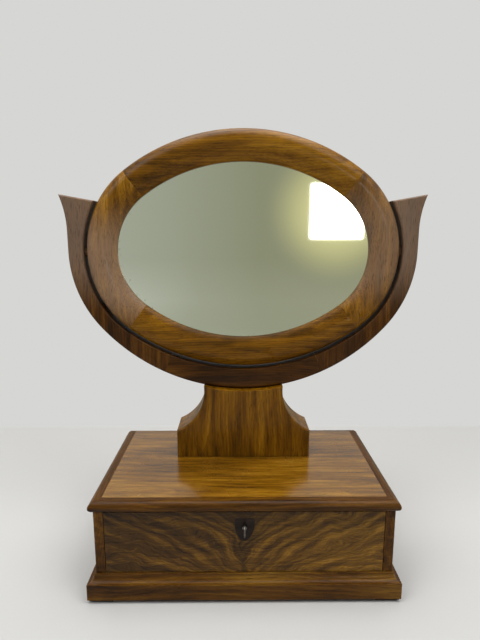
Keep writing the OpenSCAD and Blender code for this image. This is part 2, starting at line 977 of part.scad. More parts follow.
// Three-sided blocks glued into the corners behind the plinth
module corner_blocks() {
  high = plinth_h - floor_t;
  color(pine)
    both_sides()
      translate([0, 0, foot_h]) {
        translate([bay_x, case_front, 0])
          linear_extrude(high) polygon([[0, 0], [0, block_leg], [-block_leg, 0]]);
        translate([bay_x, bay_rear, 0])
          linear_extrude(high) polygon([[0, 0], [-block_leg, 0], [0, -block_leg]]);
      }
}

// Foot with its outer corner at the origin, reaching left and back
module foot() {
  chamfer = foot_h / 3;
  color(ebony) {
    translate([-foot_w, 0, chamfer]) cube([foot_w, foot_w, foot_h - chamfer]);
    translate([chamfer - foot_w, chamfer, 0])
      cube([foot_w - 2 * chamfer, foot_w - 2 * chamfer, chamfer]);
  }
}

module foot_front_right() {
  translate([plinth_x - foot_inset, front_y + foot_inset, 0]) foot();
}

module foot_back_right() {
  translate([plinth_x - foot_inset, case_rear - foot_inset - foot_w, 0]) foot();
}

module foot_front_left() { mirror([1, 0, 0]) foot_front_right(); }

module foot_back_left() { mirror([1, 0, 0]) foot_back_right(); }

module runner_right() {
  color(pine) block([bay_x - runner_w, core_rear + 1, bay_z], [bay_x, bay_rear, bay_z + runner_h]);
}

module runner_left() { mirror([1, 0, 0]) runner_right(); }

module drawer_stops() {
  mid = bay_x * 0.6;
  color(pine)
    both_sides()
      block([mid - stop_w / 2, bay_rear - stop_d, bay_z], [mid + stop_w / 2, bay_rear, bay_z + stop_h]);
}

// Tails in the plane of a drawer side: they reach long from y = 0 towards -y
module tails(long, thick, fit) {
  pitch = side_h / tail_count;
  half = (pitch - pin_w) / 2 + fit;
  for (i = [0 : tail_count - 1])
    translate([0, 0, pitch * (i + 0.5)])
      rotate([90, 0, 90])
        linear_extrude(thick)
          polygon([[over, tail_flare - half], [over, half - tail_flare], [0, half - tail_flare],
            [-long, half], [-long, -half], [0, tail_flare - half]]);
}

// Right-hand drawer side with its tails, grown by fit for the sockets
module side_tails(fit) {
  inner = drawer_x - drawer_side_t;
  translate([inner - fit, core_rear, side_low]) tails(tail_l + fit, drawer_side_t + 2 * fit, fit);
  translate([inner - fit, drawer_rear - drawer_back_t, side_low])
    mirror([0, 1, 0]) tails(drawer_back_t + fit, drawer_side_t + 2 * fit, fit);
}

// Space that the drawer bottom fills
module panel_space(fit) {
  reach = drawer_x - drawer_side_t + groove_d;
  block([-reach - fit, core_rear - groove_d - fit, panel_z - fit],
    [reach + fit, drawer_rear + fit, panel_z + drawer_bottom_t + fit]);
}

module drawer_right_side() {
  inner = drawer_x - drawer_side_t;
  color(pine)
    difference() {
      union() {
        block([inner, core_rear, side_low], [drawer_x, drawer_rear - drawer_back_t, side_high]);
        side_tails(0);
      }
      panel_space(hole_fit);
    }
}

module drawer_left_side() { mirror([1, 0, 0]) drawer_right_side(); }

module drawer_back() {
  color(pine)
    difference() {
      block([-drawer_x, drawer_rear - drawer_back_t, panel_z + drawer_bottom_t + hole_fit],
        [drawer_x, drawer_rear, side_high]);
      both_sides() side_tails(hole_fit);
    }
}

module drawer_bottom() {
  color(pine) panel_space(0);
}

// Keyhole, round with a slot below, through everything from y0 to y1
module keyhole(y0, y1, fit) {
  translate([0, y1, key_z])
    rotate([90, 0, 0])
      linear_extrude(y1 - y0) {
        circle(shank_r + fit);
        translate([-bit_t / 2 - fit, -bit_reach - fit]) square([bit_t + 2 * fit, bit_reach + fit]);
      }
}

module drawer_front() {
  color(pine)
    difference() {
      block([-drawer_x, core_y, front_low], [drawer_x, core_rear, front_high]);
      both_sides() side_tails(hole_fit);
      panel_space(hole_fit);
      block([-lock_w / 2 - glue_fit, lock_front - glue_fit, lock_high - lock_h - glue_fit],
        [lock_w / 2 + glue_fit, core_rear + over, front_high + over]);
      block([-plate_x - glue_fit, lock_front - glue_fit, lock_high],
        [plate_x + glue_fit, core_rear + over, front_high + over]);
      keyhole(core_y - over, core_rear, keyhole_fit);
      lock_screw_set(hole_fit);
    }
}

// Outline of the shield, round the key's axis
module shield_outline() {
  flank_r = shield_h;
  intersection() {
    translate([-shield_w / 2, shield_rise - shield_h]) square([shield_w, shield_h]);
    translate([shield_w / 2 - flank_r, shield_rise - shield_h / 4]) circle(flank_r, $fn = arc_fn);
    translate([flank_r - shield_w / 2, shield_rise - shield_h / 4]) circle(flank_r, $fn = arc_fn);
  }
}

module shield(y0, y1) {
  translate([0, y1, key_z])
    rotate([90, 0, 0]) linear_extrude(y1 - y0) shield_outline();
}

module drawer_veneer() {
  color(mahogany_light)
    difference() {
      block([-drawer_x, case_front, front_low], [drawer_x, core_y, front_high]);
      shield(case_front - over, core_y + over);
    }
}

module escutcheon() {
  color(ebony)
    difference() {
      shield(case_front, core_y);
      keyhole(case_front - over, core_y + over, keyhole_fit);
    }
}

// Slot for the bolt's head
module bolt_slot() {
  block([-bolt_w / 2 - bolt_fit, bolt_y - bolt_t / 2 - bolt_fit, key_z + bolt_foot],
    [bolt_w / 2 + bolt_fit, bolt_y + bolt_t / 2 + bolt_fit, front_high + over]);
}

module lock_case() {
  inner_x = lock_w / 2 - lock_wall;
  color(steel)
    difference() {
      block([-lock_w / 2, lock_front, lock_high - lock_h], [lock_w / 2, core_rear, lock_high]);
      block([-inner_x, lock_front + lock_wall, lock_high - lock_h + lock_wall],
        [inner_x, core_rear + over, lock_high - lock_wall]);
      keyhole(lock_front - over, lock_front + 2 * lock_wall, keyhole_fit);
      bolt_slot();
    }
}

module lock_plate() {
  pin_rear = core_rear + plate_t / 2;
  color(brass) {
    difference() {
      union() {
        block([-plate_x, core_rear, lock_high - lock_h - plate_margin / 2],
          [plate_x, core_rear + plate_t, front_high]);
        block([-plate_x, lock_front, lock_high], [plate_x, core_rear + plate_t, front_high]);
      }
      bolt_slot();
      lock_screw_set(hole_fit);
    }
    translate([0, pin_rear, key_z])
      rotate([90, 0, 0]) cylinder(h = pin_rear - lock_front + 2, r = drill_pin_r);
  }
}

// Screws through the four corners of the lock's back plate
module lock_screw_set(fit) {
  head_r = 1.8 * lock_screw_r;
  x = plate_x - head_r - 1;
  for (z = [lock_high - head_r - 2, lock_high - lock_h + head_r])
    both_sides()
      translate([x, core_rear + plate_t, z])
        rotate([90, 0, 0]) {
          cylinder(h = lock_screw_l, r = lock_screw_r + fit);
          cylinder(h = head_r - lock_screw_r, r1 = head_r + fit, r2 = lock_screw_r + fit);
        }
}

module lock_screws() {
  color(steel) lock_screw_set(0);
}

// Bolt with the hook that the key's bit lifts
module lock_bolt() {
  y0 = bolt_y - bolt_t / 2;
  y1 = bolt_y + bolt_t / 2;
  foot_z = key_z + bolt_foot;
  color(steel) {
    block([-bolt_w / 2, y0, foot_z], [bolt_w / 2, y1, front_high - 0.5]);
    block([-hook_out - 3, y0, key_z + hook_z], [-hook_out, y1, foot_z + 2]);
    block([-hook_out - 0.01, y0, key_z + hook_z], [-hook_in, y1, key_z + hook_z + 2]);
    block([-hook_out - 3, y0, foot_z], [-bolt_w / 2 + 0.01, y1, foot_z + 2]);
  }
}

// Pipe key, in its lock with the bit down
module key() {
  tip_y = core_rear - 0.6;
  bow_y = case_front - shank_free - bow_r;
  ring_r = bow_r - bow_wire_r;
  color(steel)
    difference() {
      union() {
        translate([0, tip_y, key_z])
          rotate([90, 0, 0]) cylinder(h = tip_y - bow_y - ring_r, r = shank_r);
        block([-bit_t / 2, bolt_y - bit_l / 2, key_z - bit_reach], [bit_t / 2, bolt_y + bit_l / 2, key_z]);
        translate([0, case_front - shank_free + 0.6, key_z])
          rotate([90, 0, 0]) cylinder(h = 1.4, r = shank_r + 0.9);
        translate([0, bow_y, key_z])
          rotate([0, 90, 0])
            rotate_extrude()
              translate([ring_r, 0]) circle(bow_wire_r, $fn = 24);
      }
      translate([0, core_rear, key_z])
        rotate([90, 0, 0]) cylinder(h = lock_d + 3, r = drill_pin_r + key_fit);
    }
}

case_left_side();
case_right_side();
case_back();
case_floor();
case_top();
nosing_front();
nosing_left();
nosing_right();
plinth_front();
plinth_left();
plinth_right();
plinth_back();
corner_blocks();
foot_front_left();
foot_front_right();
foot_back_left();
foot_back_right();
runner_left();
runner_right();
drawer_stops();
pedestal();
pedestal_dowels();
pedestal_screws();
cradle_saddle();
cradle_left_arm();
cradle_right_arm();
cradle_tongues();
cradle_dowels();
pivot_bush_left();
pivot_bush_right();
frame_top();
frame_bottom();
frame_left();
frame_right();
frame_tongues();
mirror_glass();
glass_blocks();
back_board();
back_board_nails();
pivot_nut_left();
pivot_nut_right();
pivot_screw_left();
pivot_screw_right();
pivot_washer_left();
pivot_washer_right();
drawer_front();
drawer_veneer();
drawer_left_side();
drawer_right_side();
drawer_back();
drawer_bottom();
escutcheon();
lock_case();
lock_plate();
lock_screws();
lock_bolt();
key();
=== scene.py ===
"""Looks of the table mirror: polished mahogany, flame veneer, silvered glass and a plain studio."""

import json
import math

import bmesh
import bpy
from mathutils import Matrix, Vector


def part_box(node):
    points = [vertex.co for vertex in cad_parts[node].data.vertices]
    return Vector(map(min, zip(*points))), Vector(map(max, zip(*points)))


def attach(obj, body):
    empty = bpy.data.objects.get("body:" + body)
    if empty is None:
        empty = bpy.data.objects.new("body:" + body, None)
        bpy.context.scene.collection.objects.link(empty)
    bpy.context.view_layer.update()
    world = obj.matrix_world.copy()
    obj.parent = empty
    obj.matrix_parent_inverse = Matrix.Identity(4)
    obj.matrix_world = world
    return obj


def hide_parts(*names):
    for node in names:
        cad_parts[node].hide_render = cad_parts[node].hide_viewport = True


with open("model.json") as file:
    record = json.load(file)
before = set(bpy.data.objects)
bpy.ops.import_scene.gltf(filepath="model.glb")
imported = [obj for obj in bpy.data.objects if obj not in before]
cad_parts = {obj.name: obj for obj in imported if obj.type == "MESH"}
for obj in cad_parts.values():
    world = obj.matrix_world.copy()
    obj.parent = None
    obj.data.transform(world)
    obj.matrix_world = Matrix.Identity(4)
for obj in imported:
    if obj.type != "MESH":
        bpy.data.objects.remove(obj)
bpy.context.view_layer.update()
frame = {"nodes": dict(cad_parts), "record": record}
nodes = frame["nodes"]
scene = bpy.context.scene

MM = 0.001
# Edges that turn more than this are sharp, in degrees
SHARP_TURN = 32

# Sizes of the part, in millimetres, as its source has them. The oval's four arcs:
SIGHT_END_R = 93
SIGHT_LONG_R = 228
SIGHT_LONG_Z = 108
END_X = 81
JOINT_ANGLE = math.atan2(END_X, SIGHT_LONG_Z)
SIGHT_X = END_X + SIGHT_END_R
SIGHT_Z = SIGHT_LONG_R - SIGHT_LONG_Z
# The frame's section, and where the frame stands
FRAME_W = 43
FRAME_D = 30
CROWN_R = 17
SIGHT_FALL = 10
LIP_T = 3
REBATE_W = 8
ARRIS_R = 1
PIVOT_Y = 42
PIVOT_Z = 428.5
FRAME_REAR = 52
# The cradle's front face, its rounding, and the foot of the flare
CRADLE_FRONT = 27
CRADLE_ROUND = 3
FLARE_Z = 457.5
# The back board and its nails
BOARD_T = 6
BOARD_LAP = 14
NAIL_R = 0.9
NAIL_SHANK = 9.6
NAIL_POINT = 11
NAIL_SIDES = 12
# The threaded sleeves and the pivot screws
SLEEVE_R = 4.55
FLANGE_R = 7.55
FLANGE_T = 2.05
SHANK_R = 3
HEAD_R = 7
HEAD_H = 2.6
THREAD_PITCH = 1.4
THREAD_DEPTH = 0.55
SLOT_W = 1.1
SLOT_DEPTH = 1.3
# Turn of each screw's slot: they never end up level
SLOT_TURN = {"left": math.radians(63), "right": math.radians(24)}
# The key, and the middle of the drawer front's height
KEY_Z = 97.9
BOW_Y = -107.6
BOW_HALF_Y = 5.2
BOW_HALF_Z = 6.4
BOW_WIRE_R = 1.35
BIT_REACH = 7
VENEER_Z = 77.4


def linear(hex_colour):
    """A linear colour from an sRGB one such as #7d4f1c."""
    parts = [int(hex_colour[i : i + 2], 16) / 255 for i in (1, 3, 5)]
    return [c / 12.92 if c <= 0.04045 else ((c + 0.055) / 1.055) ** 2.4 for c in parts] + [1.0]


def add(tree, kind, settings=None, links=None):
    """Adds one node: settings by property or socket, and links to its sockets from other nodes. A link comes
    from the output given, or from the first output of the node given. Stops are a colour ramp's; span is a
    range given as two values in and the two that they turn into; smooth is a span with eased ends."""
    node = tree.nodes.new(kind)
    for key, value in (settings or {}).items():
        if key == "stops":
            ramp = node.color_ramp
            while len(ramp.elements) < len(value):
                ramp.elements.new(0.5)
            for element, (place, colour) in zip(ramp.elements, value):
                element.position = place
                element.color = linear(colour)
        elif key in ("span", "smooth"):
            if key == "smooth":
                node.interpolation_type = "SMOOTHSTEP"
            for end, number in zip(("From Min", "From Max", "To Min", "To Max"), value):
                node.inputs[end].default_value = number
        elif isinstance(key, str) and key in node.bl_rna.properties:
            setattr(node, key, value)
        else:
            node.inputs[key].default_value = value
    for key, source in (links or {}).items():
        tree.links.new(getattr(source, "outputs", [source])[0], node.inputs[key])
    return node


def new_material(name):
    """A material, its node tree, and the object coordinates that its patterns lie in."""
    material = bpy.data.materials.new(name)
    material.use_nodes = True
    tree = material.node_tree
    tree.nodes.clear()
    return material, tree, add(tree, "ShaderNodeTexCoord").outputs["Object"]


def ended(material, tree, shader):
    """The material, with its shader joined to the output."""
    add(tree, "ShaderNodeOutputMaterial", {}, {0: shader})
    return material


def stretched_noise(tree, place, cell, detail, rough=0.5, shift=(0, 0, 0)):
    """Noise whose cells have these sizes along the axes, in the units of the place."""
    at = add(tree, "ShaderNodeMapping", {"Scale": [1 / size for size in cell], "Location": shift},
             {"Vector": place})
    return add(tree, "ShaderNodeTexNoise", {"Scale": 1.0, "Detail": detail, "Roughness": rough},
               {"Vector": at})


def wandering(tree, place, cell, reach, detail):
    """A place moved to and fro by a noise, by the reach in millimetres."""
    noise = stretched_noise(tree, place, cell, detail)
    noise = add(tree, "ShaderNodeVectorMath", {"operation": "SUBTRACT", 1: (0.5, 0.5, 0.5)},
                {0: noise.outputs["Color"]})
    noise = add(tree, "ShaderNodeVectorMath", {"operation": "MULTIPLY", 1: reach}, {0: noise})
    return add(tree, "ShaderNodeVectorMath", {"operation": "ADD"}, {0: place, 1: noise})


def open_pores(tree, colour, lines, cell, shut, share):
    """A colour darkened by its share in pores that follow the lines, and the pores themselves."""
    pores = stretched_noise(tree, lines, cell, 2.0)
    pores = add(tree, "ShaderNodeMapRange", {"span": (shut, 0.68)}, {"Value": pores})
    tone = add(tree, "ShaderNodeMapRange", {"span": (0.0, 1.0, 1.0, 1.0 - share)}, {"Value": pores})
    return add(tree, "ShaderNodeVectorMath", {"operation": "SCALE"}, {0: colour, "Scale": tone}), pores


def rubbed_polish(tree, colour, place, smear_mm, rough, shine, polish, ripple, pores=None):
    """The shader of hand-rubbed polish: smears in the gloss, a faint ripple, and pores that it sank into.
    The ripple is given as its strength and its height in millimetres."""
    smears = add(tree, "ShaderNodeTexNoise", {"Scale": 1 / smear_mm, "Detail": 4.0}, {"Vector": place})
    gloss = add(tree, "ShaderNodeMapRange", {"span": (0.3, 0.7, rough[0], rough[1])}, {"Value": smears})
    relief = smears
    if pores:
        relief = add(tree, "ShaderNodeMath", {"operation": "MULTIPLY_ADD", 1: -0.05}, {0: pores, 2: smears})
    bump = add(tree, "ShaderNodeBump", {"Strength": ripple[0], "Distance": ripple[1] * MM},
               {"Height": relief})
    return add(tree, "ShaderNodeBsdfPrincipled",
               {"IOR": 1.5, "Specular IOR Level": shine, "Coat Weight": polish, "Coat Roughness": 0.1},
               {"Base Color": colour, "Roughness": gloss, "Normal": bump})


# Turns that lay the wood's length, local X, along an axis of the object
GRAIN_TURN = {
    "X": (0, 0, 0),
    "Y": (0, 0, -math.pi / 2),
    "Z": (0, math.pi / 2, 0),
}
# Sizes of the wood's patterns in millimetres, along the grain and twice across it. Real pores are 0.2 mm
# wide and are drawn 0.8 mm wide so that they show.
WANDER_CELL = (240, 70, 70)
WANDER_REACH = (0, 26, 26)
STREAK_CELL = (110, 8, 8)
BROAD_CELL = (190, 60, 60)
PORE_CELL = (17, 0.8, 0.8)
# Spots of wear, the width of a rubbed edge, the reach of dirt and painted shade out of a corner, and smears
# in the polish
WEAR_MM = 9
RUBBED_MM = 1.6
DIRT_AND_SHADE_MM = 7
SMEAR_MM = 30
# The pith that the growth rings go round, in millimetres, and the wave texture's period at scale 1
PITH = (0, 37, -64)
WAVE_PERIOD = 0.314
# Where the three tones of a wood lie between its darkest and its lightest streaks
TONE_PLACES = (0.36, 0.5, 0.66)
# Grey-white of a painted highlight, mixed into the wood where side light and sheen fall
PAINTED_HIGHLIGHT = "#9c8470"


def wood(name, grain, tones, ring_mm=3.4, ring_share=0.25, pore_share=0.5, polish=0.05, rough=(0.26, 0.42),
         shine=0.1, wear="#a0702c", wear_share=0.35, grime_and_shade_share=0.5, shift=(0, 0, 0), painted_highlight=0.0, middle=0.0,
         near=0.29, full=0.42):
    """Solid wood with its length along one axis; tones are dark, middle and light; painted_highlight is how
    far it is greyed by a painted highlight, from none at near to all at full, in metres above or below the
    height called middle."""
    material, tree, place = new_material(name)
    # Object coordinates in millimetres, with the wood's length on X
    turned = add(tree, "ShaderNodeMapping", {"Rotation": GRAIN_TURN[grain], "Location": shift,
                                             "Scale": (1 / MM,) * 3}, {"Vector": place})
    # The length wanders a few millimetres to each side
    lines = wandering(tree, turned, WANDER_CELL, WANDER_REACH, 2.0)
    # Growth rings about a pith line outside the piece
    about = add(tree, "ShaderNodeMapping", {"Location": PITH, "Scale": (0.12, 1, 1)}, {"Vector": lines})
    rings = add(tree, "ShaderNodeTexWave",
                {"wave_type": "RINGS", "rings_direction": "X", "wave_profile": "SAW",
                 "Scale": WAVE_PERIOD / ring_mm, "Distortion": 5.0, "Detail": 3.0, "Detail Scale": 0.16,
                 "Detail Roughness": 0.6}, {"Vector": about})
    # Ribbon streaks, and broader changes of tone over the board
    streaks = stretched_noise(tree, lines, STREAK_CELL, 6.0, 0.62)
    broad = stretched_noise(tree, turned, BROAD_CELL, 1.5)
    mixed = add(tree, "ShaderNodeMath", {"operation": "MULTIPLY", 1: 0.62}, {0: streaks})
    mixed = add(tree, "ShaderNodeMath", {"operation": "MULTIPLY_ADD", 1: 0.38}, {0: broad, 2: mixed})
    colour = add(tree, "ShaderNodeValToRGB", {"stops": list(zip(TONE_PLACES, tones))}, {"Fac": mixed})
    ring_tone = add(tree, "ShaderNodeMapRange", {"span": (0.0, 1.0, 1.0 - ring_share, 1.08)},
                    {"Value": rings.outputs["Fac"]})
    colour = add(tree, "ShaderNodeVectorMath", {"operation": "SCALE"}, {0: colour, "Scale": ring_tone})
    # Painted highlight: the wood greyed towards white by height, where side light and sheen fall
    high = add(tree, "ShaderNodeSeparateXYZ", {}, {0: place}).outputs["Z"]
    high = add(tree, "ShaderNodeMath", {"operation": "SUBTRACT", 1: middle}, {0: high})
    high = add(tree, "ShaderNodeMath", {"operation": "ABSOLUTE"}, {0: high})
    highlight_mix = add(tree, "ShaderNodeMapRange", {"smooth": (near, full, 0.0, painted_highlight)}, {"Value": high})
    colour = add(tree, "ShaderNodeMix", {"data_type": "RGBA", 7: linear(PAINTED_HIGHLIGHT)}, {0: highlight_mix, 6: colour})
    colour, pores = open_pores(tree, colour.outputs[2], lines, PORE_CELL, 0.53, pore_share)
    # Edges where handling has rubbed the stain away, in spots
    facing = add(tree, "ShaderNodeNewGeometry").outputs["Normal"]
    rounded = add(tree, "ShaderNodeBevel", {"samples": 4, "Radius": RUBBED_MM * MM})
    edge = add(tree, "ShaderNodeVectorMath", {"operation": "DOT_PRODUCT"}, {0: facing, 1: rounded})
    edge = add(tree, "ShaderNodeMapRange", {"span": (0.995, 0.86)}, {"Value": edge.outputs["Value"]})
    broken = add(tree, "ShaderNodeTexNoise", {"Scale": 1 / WEAR_MM, "Detail": 3.0}, {"Vector": turned})
    broken = add(tree, "ShaderNodeMapRange", {"span": (0.42, 0.62, 0.0, wear_share)}, {"Value": broken})
    worn = add(tree, "ShaderNodeMath", {"operation": "MULTIPLY"}, {0: edge, 1: broken})
    colour = add(tree, "ShaderNodeMix", {"data_type": "RGBA", 7: linear(wear)}, {0: worn, 6: colour})
    # Corners darkened: dirt and old polish kept there, and painted shade where the corners keep out the light
    shut = add(tree, "ShaderNodeAmbientOcclusion", {"samples": 4, "Distance": DIRT_AND_SHADE_MM * MM}).outputs["AO"]
    shut = add(tree, "ShaderNodeMapRange", {"span": (0.25, 0.85, 1.0 - grime_and_shade_share)}, {"Value": shut})
    colour = add(tree, "ShaderNodeVectorMath", {"operation": "SCALE"}, {0: colour.outputs[2], "Scale": shut})
    shader = rubbed_polish(tree, colour, turned, SMEAR_MM, rough, shine, polish, (0.35, 0.25), pores)
    return ended(material, tree, shader)


# French-polished Cuban mahogany: shellac rubbed to a gloss over red-brown wood that age has turned golden
POLISHED = ("#462b02", "#734a05", "#9a6b10")
# The top is waxed most, so it shines most
WAXED = ("#4d3005", "#7c520c", "#a4751e")
# The plinth was stained darker, the nosing and the sides more so, and the cradle most
PLINTH = ("#351e05", "#5f3b0b", "#86601e")
DARKER = ("#2d1803", "#523106", "#774f14")
DARKEST = ("#281502", "#4a2a05", "#6e4610")
# Stained pieces come from another place in the log
STAINED_SHIFT = (40, 9, 3)
mahogany = {axis: wood(f"french_polished_mahogany_{axis.lower()}", axis, POLISHED) for axis in "XZ"}
waxed_top = wood("waxed_mahogany_top", "X", WAXED, polish=0.25, rough=(0.16, 0.3), shine=0.5,
                 shift=(300, 60, 0))
dark_mahogany = {axis: wood(f"dark_french_polished_mahogany_{axis.lower()}", axis, DARKER,
                            shift=STAINED_SHIFT)
                 for axis in "XY"}
plinth_mahogany = {axis: wood(f"stained_plinth_mahogany_{axis.lower()}", axis, PLINTH, shift=STAINED_SHIFT)
                   for axis in "XY"}
# The arms' tips and the frame's ends are greyed by a painted highlight, where side light and sheen fall on
# them
cradle_mahogany = {axis: wood(f"stained_mahogany_painted_highlight_{axis.lower()}", axis, DARKEST, shift=STAINED_SHIFT,
                              painted_highlight=0.4, near=0.34, full=0.425)
                   for axis in "XZ"}
# Painted highlight on each of the frame's ends, strongest about the pivot's height, lower on the left and
# higher on the right
end_mahogany = {side: wood(f"mahogany_with_painted_highlight_{side}", "Z", POLISHED, shift=(90, 30, 12), painted_highlight=painted_highlight,
                           middle=(PIVOT_Z + rise) * MM, near=0.1, full=0.03)
                for side, painted_highlight, rise in (("left", 0.5, -24), ("right", 0.36, 10))}
# Bare pine that has gone brown: matt, with wide rings and no polish
AGED = ("#7f5527", "#a67a45", "#c19761")
pine = {axis: wood(f"aged_pine_{axis.lower()}", axis, AGED, ring_mm=5.5, ring_share=0.35, pore_share=0.12,
                   polish=0.0, rough=(0.62, 0.8), wear="#d3ad77", grime_and_shade_share=0.65)
        for axis in "XYZ"}
# Beech dowels and tongues: pale, close and matt
beech = wood("turned_beech", "Z", ("#9a7048", "#b98f62", "#cba476"), ring_share=0.15, pore_share=0.2,
             polish=0.0, rough=(0.5, 0.65), wear="#d8b78c")
# Pear wood dyed black and polished: grain hardly shows
ebonised = wood("ebonised_pear_wood", "X", ("#120c08", "#1e1510", "#2c2018"), ring_share=0.1, pore_share=0.2,
                rough=(0.24, 0.4), wear="#5a3c22", wear_share=0.5)


def flame_veneer():
    """Crotch figure: a dark plume down the middle and feathers that sweep up and out from it."""
    material, tree, place = new_material("flame_mahogany_veneer")
    # Millimetres from the middle of the drawer front, wandering as the fibres do
    flat = add(tree, "ShaderNodeMapping", {"Scale": (1 / MM,) * 3, "Location": (0, 0, -VENEER_Z)},
               {"Vector": place})
    flat = wandering(tree, flat, (60, math.inf, 38), (30, 0, 34), 3.0)
    split = add(tree, "ShaderNodeSeparateXYZ", {}, {0: flat}).outputs
    side = add(tree, "ShaderNodeMath", {"operation": "ABSOLUTE"}, {0: split["X"]})
    # Feathers climb steeply beside the plume and level out towards the ends
    climb = side
    for operation, value in (("DIVIDE", 42.0), ("POWER", 0.62), ("MULTIPLY", -46.0)):
        climb = add(tree, "ShaderNodeMath", {"operation": operation, 1: value}, {0: climb})
    across = add(tree, "ShaderNodeMath", {"operation": "ADD"}, {0: climb, 1: split["Z"]})
    feather = add(tree, "ShaderNodeCombineXYZ", {}, {0: side, 1: across})
    flames = stretched_noise(tree, feather, (70, 9, 1), 6.0, 0.6)
    broad = stretched_noise(tree, flat, (120, 45, 1), 1.0, shift=(3.1, 1.7, 0))
    # The leaf is darker towards its left end
    slope = add(tree, "ShaderNodeMapRange", {"span": (-170.0, 120.0, -0.075, 0.045)}, {"Value": split["X"]})
    tone = add(tree, "ShaderNodeMath", {"operation": "MULTIPLY_ADD", 1: 0.7}, {0: flames, 2: slope})
    tone = add(tree, "ShaderNodeMath", {"operation": "MULTIPLY_ADD", 1: 0.3}, {0: broad, 2: tone})
    colour = add(tree, "ShaderNodeValToRGB",
                 {"stops": [(0.34, "#2b1a04"), (0.46, "#4d320c"), (0.56, "#6d4b12"), (0.7, "#996e25")]},
                 {"Fac": tone})
    # The foot of the leaf is lighter than its top
    foot = add(tree, "ShaderNodeMapRange", {"smooth": (30.0, -25.0, 0.78, 1.18)}, {"Value": split["Z"]})
    colour = add(tree, "ShaderNodeVectorMath", {"operation": "SCALE"}, {0: colour, "Scale": foot})
    # The plume: narrow at the foot, wide at the top
    width = add(tree, "ShaderNodeMapRange", {"span": (-25.0, 42.0, 3.0, 34.0)}, {"Value": split["Z"]})
    plume = add(tree, "ShaderNodeMath", {"operation": "DIVIDE"}, {0: side, 1: width})
    plume = add(tree, "ShaderNodeMapRange", {"smooth": (0.25, 1.35, 0.5)}, {"Value": plume})
    colour = add(tree, "ShaderNodeVectorMath", {"operation": "SCALE"}, {0: colour, "Scale": plume})
    # Pores run with the feathers, drawn 0.7 mm wide so that they show
    colour = open_pores(tree, colour, feather, (9, 0.7, 1), 0.54, 0.38)[0]
    shader = rubbed_polish(tree, colour, flat, 34, (0.2, 0.34), 0.15, 0.05, (0.3, 0.2))
    return ended(material, tree, shader)


def metal(name, bright, dull, grain_mm, rough, dull_share=0.5):
    """Old metal: bright where it is handled, dull and rough elsewhere; its IOR stays at the default."""
    material, tree, place = new_material(name)
    spots = add(tree, "ShaderNodeTexNoise", {"Scale": 1 / (grain_mm * MM), "Detail": 6.0, "Roughness": 0.65},
                {"Vector": place})
    shut = add(tree, "ShaderNodeAmbientOcclusion", {"samples": 4, "Distance": 2 * MM}).outputs["AO"]
    kept = add(tree, "ShaderNodeMapRange", {"span": (0.9, 0.4)}, {"Value": shut})
    mask = add(tree, "ShaderNodeMapRange", {"span": (0.44, 0.6, 0.0, dull_share)}, {"Value": spots})
    mask = add(tree, "ShaderNodeMath", {"operation": "MAXIMUM"}, {0: mask, 1: kept})
    colour = add(tree, "ShaderNodeMix", {"data_type": "RGBA", 6: linear(bright), 7: linear(dull)}, {0: mask})
    gloss = add(tree, "ShaderNodeMapRange", {"span": (0.0, 1.0, rough[0], rough[1])}, {"Value": mask})
    # File marks and scratches, 4 mm long
    scratches = stretched_noise(tree, place, (0.25 * MM, 4 * MM, 4 * MM), 2.0)
    bump = add(tree, "ShaderNodeBump", {"Strength": 0.2, "Distance": 0.05 * MM}, {"Height": scratches})
    shader = add(tree, "ShaderNodeBsdfPrincipled", {"Metallic": 1.0},
                 {"Base Color": colour.outputs[2], "Roughness": gloss, "Normal": bump})
    return ended(material, tree, shader)


def oak_leather():
    """Oak-tanned leather punched from a hide: matt, brown, with a 1 mm pebble."""
    material, tree, place = new_material("oak_tanned_leather")
    pebble = add(tree, "ShaderNodeTexVoronoi", {"Scale": 1 / (1.1 * MM)}, {"Vector": place})
    tone = add(tree, "ShaderNodeTexNoise", {"Scale": 1 / (4 * MM), "Detail": 4.0}, {"Vector": place})
    colour = add(tree, "ShaderNodeValToRGB", {"stops": [(0.35, "#3f2411"), (0.65, "#7a4c28")]}, {"Fac": tone})
    bump = add(tree, "ShaderNodeBump", {"Strength": 0.6, "Distance": 0.2 * MM}, {"Height": pebble})
    shader = add(tree, "ShaderNodeBsdfPrincipled", {"Roughness": 0.7}, {"Base Color": colour, "Normal": bump})
    return ended(material, tree, shader)


